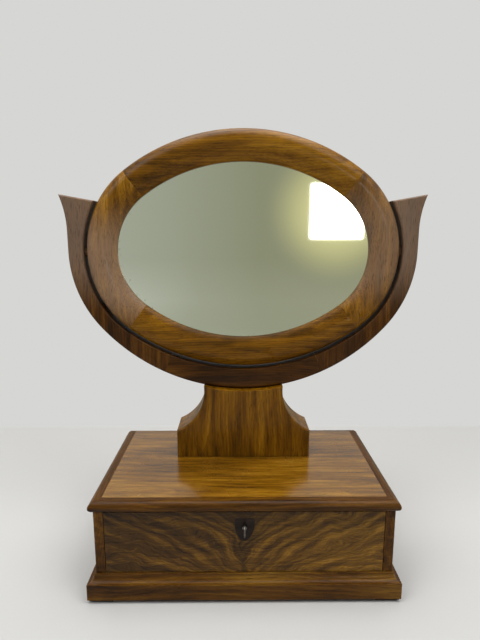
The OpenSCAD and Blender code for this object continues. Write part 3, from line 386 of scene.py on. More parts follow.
def silvered_glass():
    """Old silvered plate: nearly clear, with the silver gone brown in specks along its edge."""
    material, tree, place = new_material("silvered_plate_glass")
    # How far out a point lies, 1 on the sight edge's ellipse
    at = add(tree, "ShaderNodeMapping", {"Scale": (1 / (SIGHT_X * MM), 0, 1 / (SIGHT_Z * MM)),
                                         "Location": (0, 0, -PIVOT_Z / SIGHT_Z)}, {"Vector": place})
    out = add(tree, "ShaderNodeVectorMath", {"operation": "LENGTH"}, {0: at}).outputs["Value"]
    rim = add(tree, "ShaderNodeMapRange", {"smooth": (0.86, 1.03)}, {"Value": out})
    specks = add(tree, "ShaderNodeTexNoise", {"Scale": 1 / (7 * MM), "Detail": 7.0, "Roughness": 0.75},
                 {"Vector": place})
    lost = add(tree, "ShaderNodeMath", {"operation": "MULTIPLY_ADD", 1: 0.2}, {0: rim, 2: specks})
    lost = add(tree, "ShaderNodeMapRange", {"span": (0.74, 0.86, 0.0, 0.6)}, {"Value": lost})
    colour = add(tree, "ShaderNodeMix", {"data_type": "RGBA", 6: linear("#e3e6dd"), 7: linear("#4c4030")},
                 {0: lost})
    gloss = add(tree, "ShaderNodeMapRange", {"span": (0.0, 1.0, 0.025, 0.35)}, {"Value": lost})
    # The plate is a little wavy, over 90 mm
    wave = add(tree, "ShaderNodeTexNoise", {"Scale": 1 / (90 * MM), "Detail": 1.0}, {"Vector": place})
    bump = add(tree, "ShaderNodeBump", {"Strength": 0.15, "Distance": 0.5 * MM}, {"Height": wave})
    shader = add(tree, "ShaderNodeBsdfPrincipled", {"Metallic": 1.0},
                 {"Base Color": colour.outputs[2], "Roughness": gloss, "Normal": bump})
    return ended(material, tree, shader)


# Cast and turned brass gone brown, bright on its high places
brass = metal("aged_brass", "#b5924a", "#6b4e25", 7, (0.26, 0.5))
# Filed iron with a brown film of rust and oil
iron = metal("filed_iron", "#7a7672", "#3b2c22", 5, (0.34, 0.62), 0.75)
flame = flame_veneer()
leather = oak_leather()
glass = silvered_glass()

# Each finish and the CAD nodes that have it
FINISHES = {node: finish for finish, held in (
    (pine["X"], "case_back case_floor plinth_back drawer_stops glass_blocks back_board"),
    (pine["X"], "drawer_front drawer_back drawer_bottom"),
    (pine["Y"], "runner_left runner_right drawer_left_side drawer_right_side"),
    (pine["Z"], "corner_blocks"),
    (beech, "pedestal_dowels cradle_tongues cradle_dowels frame_tongues"),
    (waxed_top, "case_top"),
    (dark_mahogany["X"], "nosing_front"),
    (dark_mahogany["Y"], "nosing_left nosing_right case_left_side case_right_side"),
    (plinth_mahogany["X"], "plinth_front"),
    (plinth_mahogany["Y"], "plinth_left plinth_right"),
    (mahogany["X"], "frame_top frame_bottom"),
    (mahogany["Z"], "pedestal"),
    (cradle_mahogany["X"], "cradle_saddle"),
    (cradle_mahogany["Z"], "cradle_left_arm cradle_right_arm"),
    (end_mahogany["left"], "frame_left"),
    (end_mahogany["right"], "frame_right"),
    (flame, "drawer_veneer"),
    (ebonised, "foot_front_left foot_front_right foot_back_left foot_back_right escutcheon"),
    (brass, "pivot_bush_left pivot_bush_right pivot_nut_left pivot_nut_right lock_plate"),
    (brass, "pivot_screw_left pivot_screw_right"),
    (iron, "pedestal_screws back_board_nails lock_case lock_screws lock_bolt key"),
    (leather, "pivot_washer_left pivot_washer_right"),
    (glass, "mirror_glass"),
) for node in held.split()}
for node, finish in FINISHES.items():
    nodes[node].data.materials.clear()
    nodes[node].data.materials.append(finish)


BODIES = {node: body for body, held in frame["record"]["behaviour"]["bodies"].items() for node in held}


def settle(piece, node):
    """Puts a finished piece on the body and in the finish of the CAD node that it stands for."""
    if not piece.data.materials:
        piece.data.materials.append(FINISHES[node])
    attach(piece, BODIES[node])
    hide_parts(node)


def as_object(name, data):
    """A new object in the scene, at the origin."""
    item = bpy.data.objects.new(name, data)
    scene.collection.objects.link(item)
    return item


def mesh_of(name, shape):
    """Closes a bmesh into a mesh, with its faces outwards."""
    bmesh.ops.recalc_face_normals(shape, faces=shape.faces)
    mesh = bpy.data.meshes.new(name)
    shape.to_mesh(mesh)
    shape.free()
    return mesh


def worked(piece):
    """The piece's modifiers turned into plain mesh."""
    shaped = piece.evaluated_get(bpy.context.evaluated_depsgraph_get())
    mesh = bpy.data.meshes.new_from_object(shaped)
    piece.modifiers.clear()
    rough = piece.data
    piece.data = mesh
    bpy.data.meshes.remove(rough)
    return piece


def combine(piece, other, operation):
    """Joins another closed mesh to a piece or cuts it out of it; the other is used up."""
    tool = piece.modifiers.new("tool", "BOOLEAN")
    tool.operation = operation
    tool.solver = "EXACT"
    tool.object = other
    worked(piece)
    bpy.data.objects.remove(other)


def finish_shading(mesh, sharp=SHARP_TURN):
    """Smooth over shallow turns, sharp over steeper ones."""
    mesh.shade_smooth()
    mesh.set_sharp_from_angle(angle=math.radians(sharp))


def round_the_flare(shape):
    """Carries the arms' rounded front edges on up the flare to the tip."""
    square = []
    for edge in shape.edges:
        low, high = sorted((corner.co for corner in edge.verts), key=lambda spot: spot.z)
        at_front = max(low.y, high.y) < (CRADLE_FRONT + 0.01) * MM
        on_flare = low.z > (FLARE_Z - 0.01) * MM and high.z - low.z > 1 * MM
        if at_front and on_flare and edge.calc_face_angle(0.0) > math.radians(80):
            square.append(edge)
    bmesh.ops.bevel(shape, geom=square, offset=CRADLE_ROUND * MM, offset_type="OFFSET", affect="EDGES",
                    segments=11, profile=0.5, clamp_overlap=False)
    bmesh.ops.remove_doubles(shape, verts=shape.verts, dist=0.02 * MM)


def eased(node, round_mm, turn=50, shortest=6.0, clamp=True, first=None):
    """A copy of a CAD solid with its long outer edges rubbed round, as sanding leaves them."""
    shape = bmesh.new()
    shape.from_mesh(nodes[node].data)
    bmesh.ops.remove_doubles(shape, verts=shape.verts, dist=0.003 * MM)
    bmesh.ops.dissolve_limit(shape, angle_limit=math.radians(0.4), verts=shape.verts, edges=shape.edges)
    if first:
        first(shape)
    shape.verts.index_update()
    # Each edge by the pair of corners that it joins: whether it is rubbed, and whether it is sharp
    marks = {}
    for edge in shape.edges:
        angle = math.degrees(edge.calc_face_angle(0.0))
        rubbed = edge.is_convex and angle > turn and edge.calc_length() > shortest * MM
        marks[tuple(sorted(corner.index for corner in edge.verts))] = (rubbed, angle >= SHARP_TURN)
    mesh = bpy.data.meshes.new(f"{node}_eased")
    corners = [corner.co.copy() for corner in shape.verts]
    mesh.from_pydata(corners, [], [[corner.index for corner in face.verts] for face in shape.faces])
    shape.free()
    weights = mesh.attributes.new("bevel_weight_edge", "FLOAT", "EDGE")
    for edge in mesh.edges:
        rubbed, sharp = marks.get(tuple(sorted(edge.vertices)), (False, False))
        weights.data[edge.index].value = float(rubbed)
        edge.use_edge_sharp = sharp
    mesh.polygons.foreach_set("use_smooth", [True] * len(mesh.polygons))
    piece = as_object(f"{node}_eased", mesh)
    rub = piece.modifiers.new("rub", "BEVEL")
    rub.limit_method = "WEIGHT"
    rub.width = round_mm * MM
    rub.segments = 3
    rub.harden_normals = True
    rub.use_clamp_overlap = clamp
    settle(worked(piece), node)


# How far the edges of each board are rubbed round, in millimetres
BOARDS = {
    "case_left_side": 0.5, "case_right_side": 0.5, "case_back": 0.6, "plinth_back": 0.8, "corner_blocks": 0.8,
    "foot_front_left": 0.9, "foot_front_right": 0.9, "foot_back_left": 0.9, "foot_back_right": 0.9,
    "runner_left": 0.6, "runner_right": 0.6, "drawer_stops": 0.6, "drawer_left_side": 0.7,
    "drawer_right_side": 0.7, "drawer_back": 0.7, "drawer_bottom": 0.5, "drawer_front": 0.25,
    "nosing_front": 0.2, "nosing_left": 0.2, "nosing_right": 0.2, "plinth_front": 0.25, "plinth_left": 0.25,
    "plinth_right": 0.25,
}
for node, round_mm in BOARDS.items():
    eased(node, round_mm)
# The backs of the sawn shapes have short facets beside long curved edges
for node in ("pedestal", "cradle_saddle", "cradle_left_arm", "cradle_right_arm"):
    eased(node, 0.6, shortest=1.0, clamp=False, first=round_the_flare if "arm" in node else None)
# Metal and inlaid pieces: their rims are only just broken
FITTINGS = {"escutcheon": 0.3, "lock_plate": 0.2, "lock_bolt": 0.3, "lock_case": 0.3}
for node, round_mm in FITTINGS.items():
    eased(node, round_mm, turn=40, shortest=0.05)


# From the frame's own plane (x right, y up, z forwards) to the object's
STAND_UP = {"Rotation": (math.pi / 2, 0, 0), "Translation": (0, FRAME_REAR * MM, PIVOT_Z * MM)}


def new_tree(name, sockets):
    """A Geometry Nodes tree with the named inputs given as (name, kind), and those inputs."""
    tree = bpy.data.node_groups.new(name, "GeometryNodeTree")
    tree.interface.new_socket("Geometry", in_out="OUTPUT", socket_type="NodeSocketGeometry")
    for label, kind in [("Geometry", "Geometry")] + sockets:
        tree.interface.new_socket(label, in_out="INPUT", socket_type=f"NodeSocket{kind}")
    return tree, add(tree, "NodeGroupInput").outputs


def close_tree(tree, made, finish):
    """Stands what a tree made up in the frame's place, and ends the tree in real mesh with its finish."""
    made = add(tree, "GeometryNodeTransform", STAND_UP, {"Geometry": made})
    made = add(tree, "GeometryNodeRealizeInstances", {}, {0: made})
    made = add(tree, "GeometryNodeSetMaterial", {}, {0: made, "Material": finish})
    add(tree, "NodeGroupOutput", {}, {0: made})
    return tree


def run_tree(piece, tree, values):
    """Hangs a tree on a piece, sets its named inputs and turns the result into plain mesh."""
    made = piece.modifiers.new(tree.name, "NODES")
    made.node_group = tree
    for item in tree.interface.items_tree:
        if item.in_out == "INPUT" and item.name in values:
            made[item.identifier] = values[item.name]
    worked(piece)


def sweep_tree():
    """Sweeps a section round part of a circle; its last rings shrink a hair so that the joint shows."""
    tree, given = new_tree("swept_moulding", [
        ("Radius", "Float"), ("Centre Height", "Float"), ("Centre Side", "Float"), ("Lift", "Float"),
        ("Start", "Float"), ("Sweep", "Float"), ("Steps", "Int"), ("Joint Length", "Float"),
        ("Joint Depth", "Float"), ("Finish", "Material")])
    rail = add(tree, "GeometryNodeCurvePrimitiveLine", {"End": (1, 0, 0)})
    rail = add(tree, "GeometryNodeResampleCurve", {}, {"Curve": rail, "Count": given["Steps"]})
    at = add(tree, "GeometryNodeInputPosition")
    along = add(tree, "ShaderNodeSeparateXYZ", {}, {0: at}).outputs["X"]
    # The rings next to the ends sit one joint length in; the rest spread evenly between them
    ends = add(tree, "GeometryNodeCurveEndpointSelection")
    pitch = add(tree, "ShaderNodeMath", {"operation": "DIVIDE", 0: 1.0}, {1: given["Steps"]})
    far = add(tree, "ShaderNodeMath", {"operation": "SUBTRACT", 0: 1.0}, {1: pitch})
    last = add(tree, "ShaderNodeMath", {"operation": "SUBTRACT", 0: 1.0}, {1: given["Joint Length"]})
    spread = add(tree, "ShaderNodeMapRange", {}, {"Value": along, "From Min": pitch, "From Max": far,
                                                  "To Min": given["Joint Length"], "To Max": last})
    along = add(tree, "GeometryNodeSwitch", {"input_type": "FLOAT"},
                {"Switch": ends, "False": spread, "True": along})
    angle = add(tree, "ShaderNodeMath", {"operation": "MULTIPLY_ADD"},
                {0: along, 1: given["Sweep"], 2: given["Start"]})
    spot = add(tree, "ShaderNodeCombineXYZ", {}, {2: given["Lift"]})
    for axis, operation, centre in ((0, "COSINE", "Centre Side"), (1, "SINE", "Centre Height")):
        turned = add(tree, "ShaderNodeMath", {"operation": operation}, {0: angle})
        turned = add(tree, "ShaderNodeMath", {"operation": "MULTIPLY_ADD"},
                     {0: turned, 1: given["Radius"], 2: given[centre]})
        tree.links.new(turned.outputs[0], spot.inputs[axis])
    rail = add(tree, "GeometryNodeSetPosition", {}, {"Geometry": rail, "Position": spot})
    rail = add(tree, "GeometryNodeSetCurveNormal", {"mode": "Z_UP"}, {0: rail})
    section = add(tree, "GeometryNodeMeshToCurve", {}, {"Mesh": given["Geometry"]})
    shrunk = add(tree, "ShaderNodeMath", {"operation": "SUBTRACT", 0: 1.0}, {1: given["Joint Depth"]})
    scale = add(tree, "GeometryNodeSwitch", {"input_type": "FLOAT", "False": 1.0},
                {"Switch": ends, "True": shrunk})
    body = add(tree, "GeometryNodeCurveToMesh", {"Fill Caps": True},
               {"Curve": rail, "Profile Curve": section, "Scale": scale})
    return close_tree(tree, body, given["Finish"])


def turn_points(centre, radius, start, end, steps):
    """Points round part of a circle, both ends in, angles in degrees."""
    turns = [math.radians(start + (end - start) * step / steps) for step in range(steps + 1)]
    return [(centre[0] + radius * math.cos(turn), centre[1] + radius * math.sin(turn)) for turn in turns]


def frame_section():
    """Outline of the frame's section, from its middle: x outwards, y backwards, in metres."""
    dome_x = FRAME_W - CROWN_R
    dome_r = (dome_x ** 2 + SIGHT_FALL ** 2) / (2 * SIGHT_FALL)
    sight_turn = 90 + math.degrees(math.asin(dome_x / dome_r))
    lip_back = FRAME_D - SIGHT_FALL - LIP_T
    outline = turn_points((FRAME_W - ARRIS_R, ARRIS_R), ARRIS_R, -90, 0, 3)
    outline += turn_points((dome_x, FRAME_D - CROWN_R), CROWN_R, 0, 90, 16)
    outline += turn_points((dome_x, FRAME_D - dome_r), dome_r, 90, sight_turn - 1.2, 14)[1:]
    # The sight edge is rubbed round where it meets the glass
    outline += [(0.12, FRAME_D - SIGHT_FALL - 0.35), (0, FRAME_D - SIGHT_FALL - 0.9), (0, lip_back)]
    outline += [(REBATE_W, lip_back), (REBATE_W, 0.4), (REBATE_W + 0.4, 0)]
    return [((x - FRAME_W / 2) * MM, (FRAME_D / 2 - y) * MM, 0) for x, y in outline]


def section_mesh(name, points):
    """The section as a closed line, for the sweep to follow."""
    mesh = bpy.data.meshes.new(name)
    mesh.from_pydata(points, [(i, (i + 1) % len(points)) for i in range(len(points))], [])
    return mesh


def outward(piece):
    """Makes the faces of a closed shell point outwards."""
    shape = bmesh.new()
    shape.from_mesh(piece.data)
    bmesh.ops.remove_doubles(shape, verts=shape.verts, dist=0.001 * MM)
    bmesh.ops.recalc_face_normals(shape, faces=shape.faces)
    shape.to_mesh(piece.data)
    shape.free()


pivot_axis = Matrix.Translation((0, PIVOT_Y * MM, PIVOT_Z * MM))
nut_low, nut_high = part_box("pivot_nut_right")
nut_end = nut_high.x / MM
# Bores of the well of a threaded sleeve, along the pivot axis: from, to, radius
WELLS = [(nut_low.x / MM - 0.1, nut_end - 0.5, SLEEVE_R),
         (nut_end - FLANGE_T, SIGHT_X + FRAME_W + 4, FLANGE_R)]


def rod(low_x, high_x, radius):
    """A cylinder on the pivot axis, used to bore a well."""
    shape = bmesh.new()
    middle = Matrix.Translation(((low_x + high_x) / 2 * MM, 0, 0))
    bmesh.ops.create_cone(shape, cap_ends=True, segments=48, radius1=radius * MM, radius2=radius * MM,
                          depth=(high_x - low_x) * MM,
                          matrix=pivot_axis @ middle @ Matrix.Rotation(math.pi / 2, 4, "Y"))
    return as_object("bore", mesh_of("bore", shape))


# How each segment is swept: rings, and its joints' length and depth as shares of the rail and the section
SWEEP_STEPS = 72
JOINT_LENGTH = 0.0012
JOINT_DEPTH = 0.009
SECTION = frame_section()
SWEEP = sweep_tree()
MID = FRAME_W / 2
JOINT = math.degrees(JOINT_ANGLE)
# Frame segments: radius to the middle of the section, centre up and sideways, start and sweep in degrees
SEGMENTS = {
    "frame_top": (SIGHT_LONG_R + MID, -SIGHT_LONG_Z, 0, 90 - JOINT, 2 * JOINT),
    "frame_bottom": (SIGHT_LONG_R + MID, SIGHT_LONG_Z, 0, 270 - JOINT, 2 * JOINT),
    "frame_right": (SIGHT_END_R + MID, 0, END_X, JOINT - 90, 180 - 2 * JOINT),
    "frame_left": (SIGHT_END_R + MID, 0, -END_X, 90 + JOINT, 180 - 2 * JOINT),
}
for node, (radius, height, aside, start, sweep) in SEGMENTS.items():
    segment = as_object(f"{node}_swept", section_mesh(node, SECTION))
    run_tree(segment, SWEEP, {
        "Radius": radius * MM, "Centre Height": height * MM, "Centre Side": aside * MM,
        "Lift": FRAME_D / 2 * MM, "Start": math.radians(start), "Sweep": math.radians(sweep),
        "Steps": SWEEP_STEPS, "Joint Length": JOINT_LENGTH, "Joint Depth": JOINT_DEPTH,
        "Finish": FINISHES[node]})
    outward(segment)
    # The two ends take the sleeves of the pivot screws
    if aside:
        side = 1 if aside > 0 else -1
        for near, far, radius in WELLS:
            combine(segment, rod(*sorted((side * near, side * far)), radius), "DIFFERENCE")
    finish_shading(segment.data)
    settle(segment, node)


def nail_mesh():
    """A cut nail on the frame's depth axis: a dished, slightly uneven head on a square shank."""
    shape = bmesh.new()
    # The head from its middle outwards and back to the shank: radius and depth
    head = [(0.0, -0.62), (0.9, -0.55), (1.55, -0.34), (1.8, -0.1), (1.72, 0.04), (NAIL_R, 0.06)]
    turns = [math.tau * step / NAIL_SIDES for step in range(NAIL_SIDES)]
    rings = []
    for radius, depth in head[1:]:
        rings.append([shape.verts.new((
            radius * (1 + 0.05 * math.sin(3.1 * turn + radius)) * math.cos(turn) * MM,
            radius * math.sin(turn) * MM, depth * MM)) for turn in turns])
    top = shape.verts.new((0, 0, head[0][1] * MM))
    rings.append([shape.verts.new((x * MM, y * MM, NAIL_SHANK * MM)) for x, y in
                  turn_points((0, 0), NAIL_R * 0.8, 0, 330, NAIL_SIDES - 1)])
    point = shape.verts.new((0, 0, NAIL_POINT * MM))
    for step in range(NAIL_SIDES):
        after = (step + 1) % NAIL_SIDES
        shape.faces.new((top, rings[0][step], rings[0][after]))
        shape.faces.new((point, rings[-1][after], rings[-1][step]))
        for ring, deeper in zip(rings, rings[1:]):
            shape.faces.new((ring[step], deeper[step], deeper[after], ring[after]))
    return mesh_of("nail", shape)


def nails_tree():
    """Drives a nail at three places on each of the oval's four arcs, each turned and tilted a little."""
    tree, given = new_tree("nails_round_the_oval", [
        ("Long Radius", "Float"), ("Long Height", "Float"), ("Long Spread", "Float"), ("End Radius", "Float"),
        ("End Side", "Float"), ("End Spread", "Float"), ("Board", "Float"), ("Seed", "Int"),
        ("Finish", "Material")])
    spots = add(tree, "GeometryNodeJoinGeometry")
    for turn, reach, spread, off, axis, sign in ((90, "Long Radius", "Long Spread", "Long Height", 1, -1.0),
                                                 (270, "Long Radius", "Long Spread", "Long Height", 1, 1.0),
                                                 (0, "End Radius", "End Spread", "End Side", 0, 1.0),
                                                 (180, "End Radius", "End Spread", "End Side", 0, -1.0)):
        start = add(tree, "ShaderNodeMath", {"operation": "SUBTRACT", 0: math.radians(turn)},
                    {1: given[spread]})
        sweep = add(tree, "ShaderNodeMath", {"operation": "MULTIPLY", 1: 2.0}, {0: given[spread]})
        arc = add(tree, "GeometryNodeCurveArc", {"Resolution": 3},
                  {"Radius": given[reach], "Start Angle": start, "Sweep Angle": sweep})
        shift = add(tree, "ShaderNodeMath", {"operation": "MULTIPLY", 1: sign}, {0: given[off]})
        moved = add(tree, "ShaderNodeCombineXYZ", {}, {axis: shift, 2: given["Board"]})
        arc = add(tree, "GeometryNodeTransform", {}, {"Geometry": arc, "Translation": moved})
        tree.links.new(arc.outputs[0], spots.inputs[0])
    points = add(tree, "GeometryNodeCurveToPoints", {"mode": "EVALUATED"}, {0: spots})
    lean = add(tree, "FunctionNodeRandomValue", {"data_type": "FLOAT_VECTOR", 0: (-0.05, -0.05, 0.0),
                                                 1: (0.05, 0.05, math.tau)}, {"Seed": given["Seed"]})
    driven = add(tree, "GeometryNodeInstanceOnPoints", {},
                 {"Points": points, "Instance": given["Geometry"], "Rotation": lean})
    return close_tree(tree, driven, given["Finish"])


def lathe(shape, outline, height, steps=28):
    """Turns an outline of (y, radius) points about a line along Y at the given height. Ends on the line
    close."""
    rings = []
    for y, radius in outline:
        if radius == 0:
            rings.append([shape.verts.new((0, y * MM, height * MM))])
        else:
            rings.append([shape.verts.new((x * MM, y * MM, (height + z) * MM))
                          for x, z in turn_points((0, 0), radius, 0, 360 - 360 / steps, steps - 1)])
    for ring, after in zip(rings, rings[1:]):
        for step in range(steps):
            last = (step + 1) % steps
            if len(ring) == 1:
                shape.faces.new((ring[0], after[step], after[last]))
            elif len(after) == 1:
                shape.faces.new((ring[step], after[0], ring[last]))
            else:
                shape.faces.new((ring[step], after[step], after[last], ring[last]))


def key_bow():
    """The oval ring that the fingers hold, of flattened wire."""
    shape = bmesh.new()
    turns, sides = 56, 14
    rings = []
    for step in range(turns):
        turn = math.tau * step / turns
        # A little kidney-shaped: pinched where it meets the shank
        pinch = 1 - 0.1 * math.exp(-((math.atan2(math.sin(turn), math.cos(turn)) / 0.5) ** 2))
        middle = Vector((0, BOW_Y + BOW_HALF_Y * pinch * math.cos(turn), KEY_Z + BOW_HALF_Z * math.sin(turn)))
        outwards = Vector((0, math.cos(turn) / BOW_HALF_Y, math.sin(turn) / BOW_HALF_Z)).normalized()
        ring = []
        for side in range(sides):
            round_wire = math.tau * side / sides
            ring.append(shape.verts.new((middle + outwards * math.cos(round_wire) * BOW_WIRE_R
                                         + Vector((math.sin(round_wire) * BOW_WIRE_R * 0.82, 0, 0))) * MM))
        rings.append(ring)
    for step, ring in enumerate(rings):
        after = rings[(step + 1) % turns]
        for side in range(sides):
            last = (side + 1) % sides
            shape.faces.new((ring[side], ring[last], after[last], after[side]))
    return mesh_of("key_bow", shape)


def key_shank():
    """Shank with a moulded collar and a drilled pipe at its tip, as (y, radius) points."""
    shape = bmesh.new()
    neck = BOW_Y + BOW_HALF_Y - 0.9
    collar = [(neck, 0), (neck, 1.3), (-102.6, 1.75), (-102.35, 2.5), (-102.0, 2.8), (-101.6, 2.8),
              (-101.3, 2.3), (-101.1, 2.3), (-100.9, 2.75), (-100.5, 2.85), (-100.1, 2.6), (-99.8, 2.0)]
    pipe = [(-82.0, 2.0), (-81.6, 1.75), (-81.6, 1.15), (-92.0, 1.15), (-92.0, 0)]
    lathe(shape, collar + pipe, KEY_Z)
    return mesh_of("key_shank", shape)


def key_bit():
    """Flag of the key, 2 mm thick, with two ward cuts from below, as (y, z) points."""
    shape = bmesh.new()
    top = KEY_Z - 1.2
    low = KEY_Z - BIT_REACH
    outline = [(-88.5, top), (-88.5, low), (-87.6, low), (-87.6, low + 2.6), (-86.9, low + 2.6), (-86.9, low),
               (-85.2, low), (-85.2, low + 1.7), (-84.5, low + 1.7), (-84.5, low), (-83.5, low), (-83.5, top)]
    sides = [[shape.verts.new((x * MM, y * MM, z * MM)) for y, z in outline] for x in (-1, 1)]
    for side in sides:
        shape.faces.new(side)
    for step in range(len(outline)):
        after = (step + 1) % len(outline)
        shape.faces.new((sides[0][step], sides[0][after], sides[1][after], sides[1][step]))
    return mesh_of("key_bit", shape)


# The key: bow, shank and bit forged as one
key = as_object("key_forged", key_shank())
for forged in (key_bow(), key_bit()):
    combine(key, as_object("key_part", forged), "UNION")
finish_shading(key.data, 40)
settle(key, "key")


def pivot_screw(side):
    """Brass screw through an arm: a domed head with a filed slot, a neck in the bush and a thread in the
    sleeve."""
    shape = bmesh.new()
    low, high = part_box("pivot_screw_right")
    tip, crown = low.x / MM, high.x / MM
    seat = crown - HEAD_H
    dome_h = HEAD_H - 0.5
    dome_r = (HEAD_R ** 2 + dome_h ** 2) / (2 * dome_h)
    half = math.degrees(math.asin(HEAD_R / dome_r))
    dome = [(crown - dome_r + out, radius) for radius, out in turn_points((0, 0), dome_r, 90 - half, 90, 9)]
    thread = []
    for turn in range(int((nut_end - tip - 2) / THREAD_PITCH)):
        at = tip + 1 + turn * THREAD_PITCH
        thread += [(at, SHANK_R - THREAD_DEPTH), (at + THREAD_PITCH / 2, SHANK_R - 0.08)]
    neck = [(nut_end - 0.5, SHANK_R - 0.4), (nut_end, SHANK_R - 0.05), (seat, SHANK_R - 0.05),
            (seat, HEAD_R - 0.4), (seat + 0.15, HEAD_R), (seat + 0.5, HEAD_R)]
    lathe(shape, [(tip, 0), (tip, SHANK_R - 0.8)] + thread + neck + dome[1:-1] + [(crown, 0)], 0, steps=40)
    mesh = mesh_of("pivot_screw", shape)
    # The lathe turns about Y at height 0: laid along X on the pivot axis, head outwards
    mesh.transform(pivot_axis @ Matrix.Rotation(-math.pi / 2, 4, "Z"))
    screw = as_object(f"pivot_screw_{side}_turned", mesh)
    # The file that cuts the slot: a 3 mm blade, let in as deep as the slot
    blade = bmesh.new()
    blade_at = Matrix.Translation(((crown - SLOT_DEPTH + 1.5) * MM, 0, 0))
    blade_size = Matrix.Diagonal((3.0 * MM, 2.4 * HEAD_R * MM, SLOT_W * MM, 1))
    turned = Matrix.Rotation(SLOT_TURN[side], 4, "X")
    bmesh.ops.create_cube(blade, size=1.0, matrix=pivot_axis @ blade_at @ turned @ blade_size)
    combine(screw, as_object("blade", mesh_of("blade", blade)), "DIFFERENCE")
    if side == "left":
        screw.data.transform(Matrix.Diagonal((-1, 1, 1, 1)))
        screw.data.flip_normals()
    finish_shading(screw.data, 35)
    settle(screw, f"pivot_screw_{side}")


for side in ("left", "right"):
    pivot_screw(side)

# The nails run down the middle of the back board's lap, over most of each arc
NAIL_RING = REBATE_W + BOARD_LAP / 2
NAIL_SPREAD = 0.68
nails = as_object("back_board_cut_nails", nail_mesh())
run_tree(nails, nails_tree(), {
    "Long Radius": (SIGHT_LONG_R + NAIL_RING) * MM, "Long Height": SIGHT_LONG_Z * MM,
    "Long Spread": JOINT_ANGLE * NAIL_SPREAD, "End Radius": (SIGHT_END_R + NAIL_RING) * MM,
    "End Side": END_X * MM, "End Spread": (math.pi / 2 - JOINT_ANGLE) * NAIL_SPREAD,
    "Board": -BOARD_T * MM, "Seed": 7, "Finish": iron})
finish_shading(nails.data)
settle(nails, "back_board_nails")


# The studio, in metres: a pale floor that fades into a pale backdrop, and a room behind the camera for the
# glass to show
BACKDROP = "#d6d6d4"
FLOOR_HALF = 6
# The floor takes the backdrop's colour between these distances from the part, and behind the table's edge
FADE_FROM = 0.6
FADE_TO = 1.6
EDGE_FROM = 0.42
EDGE_TO = 0.45
# The far wall of the room, and the middle of the window that shows in the glass
WALL_Y = -2.6
WINDOW = (0.69, WALL_Y, 0.63)
WINDOW_HALF = 0.2
WINDOW_STRENGTH = 14.0
# The window's glow on the wall fades out this far from its middle, and is full this near
GLOW_FROM = 0.52
GLOW_TO = 0.1


def stage_plane(name, corners, material):
    """A flat sheet of the studio, not part of the object."""
    mesh = bpy.data.meshes.new(name)
    mesh.from_pydata(corners, [], [range(len(corners))])
    mesh.materials.append(material)
    sheet = as_object(name, mesh)
    return sheet


def room_tone(tree, place):
    """Grey-green of the room behind the camera, lighter to the left and lightest low on the left."""
    split = add(tree, "ShaderNodeSeparateXYZ", {}, {0: place}).outputs
    slope = add(tree, "ShaderNodeMapRange", {"span": (-1.2, 1.2)}, {"Value": split["X"]})
    colour = add(tree, "ShaderNodeValToRGB",
                 {"stops": [(0.0, "#b9bcb0"), (0.28, "#acafa0"), (0.56, "#9a9c84"), (1.0, "#9e9e82")]},
                 {"Fac": slope})
    low = add(tree, "ShaderNodeMapRange", {"span": (0.3, -0.05)}, {"Value": split["Z"]})
    left = add(tree, "ShaderNodeMapRange", {"span": (-0.3, -0.85, 0.12, 0.4)}, {"Value": split["X"]})
    share = add(tree, "ShaderNodeMath", {"operation": "MULTIPLY"}, {0: low, 1: left})
    mix = add(tree, "ShaderNodeMix", {"data_type": "RGBA", 7: linear("#ebece4")}, {0: share, 6: colour})
    return mix.outputs[2]


def floor_finish():
    """Painted table top; past its rear edge and far to the sides it takes the backdrop's colour, or in the
    glass the room's."""
    material, tree, place = new_material("painted_floor")
    away = add(tree, "ShaderNodeVectorMath", {"operation": "LENGTH"}, {0: place}).outputs["Value"]
    fade = add(tree, "ShaderNodeMapRange", {"smooth": (FADE_FROM, FADE_TO)}, {"Value": away})
    back = add(tree, "ShaderNodeSeparateXYZ", {}, {0: place}).outputs["Y"]
    past = add(tree, "ShaderNodeMapRange", {"smooth": (EDGE_FROM, EDGE_TO)}, {"Value": back})
    fade = add(tree, "ShaderNodeMath", {"operation": "MAXIMUM"}, {0: fade, 1: past})
    paint = add(tree, "ShaderNodeBsdfDiffuse", {"Color": linear("#c6c5c2")})
    light = add(tree, "ShaderNodeEmission", {"Color": linear(BACKDROP), "Strength": 1.0})
    room = add(tree, "ShaderNodeEmission", {"Strength": 1.0}, {"Color": room_tone(tree, place)})
    path = add(tree, "ShaderNodeLightPath").outputs
    far = add(tree, "ShaderNodeMixShader", {}, {0: path["Is Glossy Ray"], 1: light, 2: room})
    mix = add(tree, "ShaderNodeMixShader", {}, {0: fade, 1: paint, 2: far})
    return ended(material, tree, mix)


def room_finish():
    """The dim side of a room, grey-green, lighter to the left, and warm where the window lights it."""
    material, tree, place = new_material("dim_room")
    away = add(tree, "ShaderNodeVectorMath", {"operation": "DISTANCE", 1: WINDOW}, {0: place})
    glow = add(tree, "ShaderNodeMapRange", {"smooth": (GLOW_FROM, GLOW_TO)}, {"Value": away.outputs["Value"]})
    colour = add(tree, "ShaderNodeMix", {"data_type": "RGBA", 7: linear("#ebe4a8")},
                 {0: glow, 6: room_tone(tree, place)})
    light = add(tree, "ShaderNodeEmission", {"Strength": 1.0}, {"Color": colour.outputs[2]})
    return ended(material, tree, light)


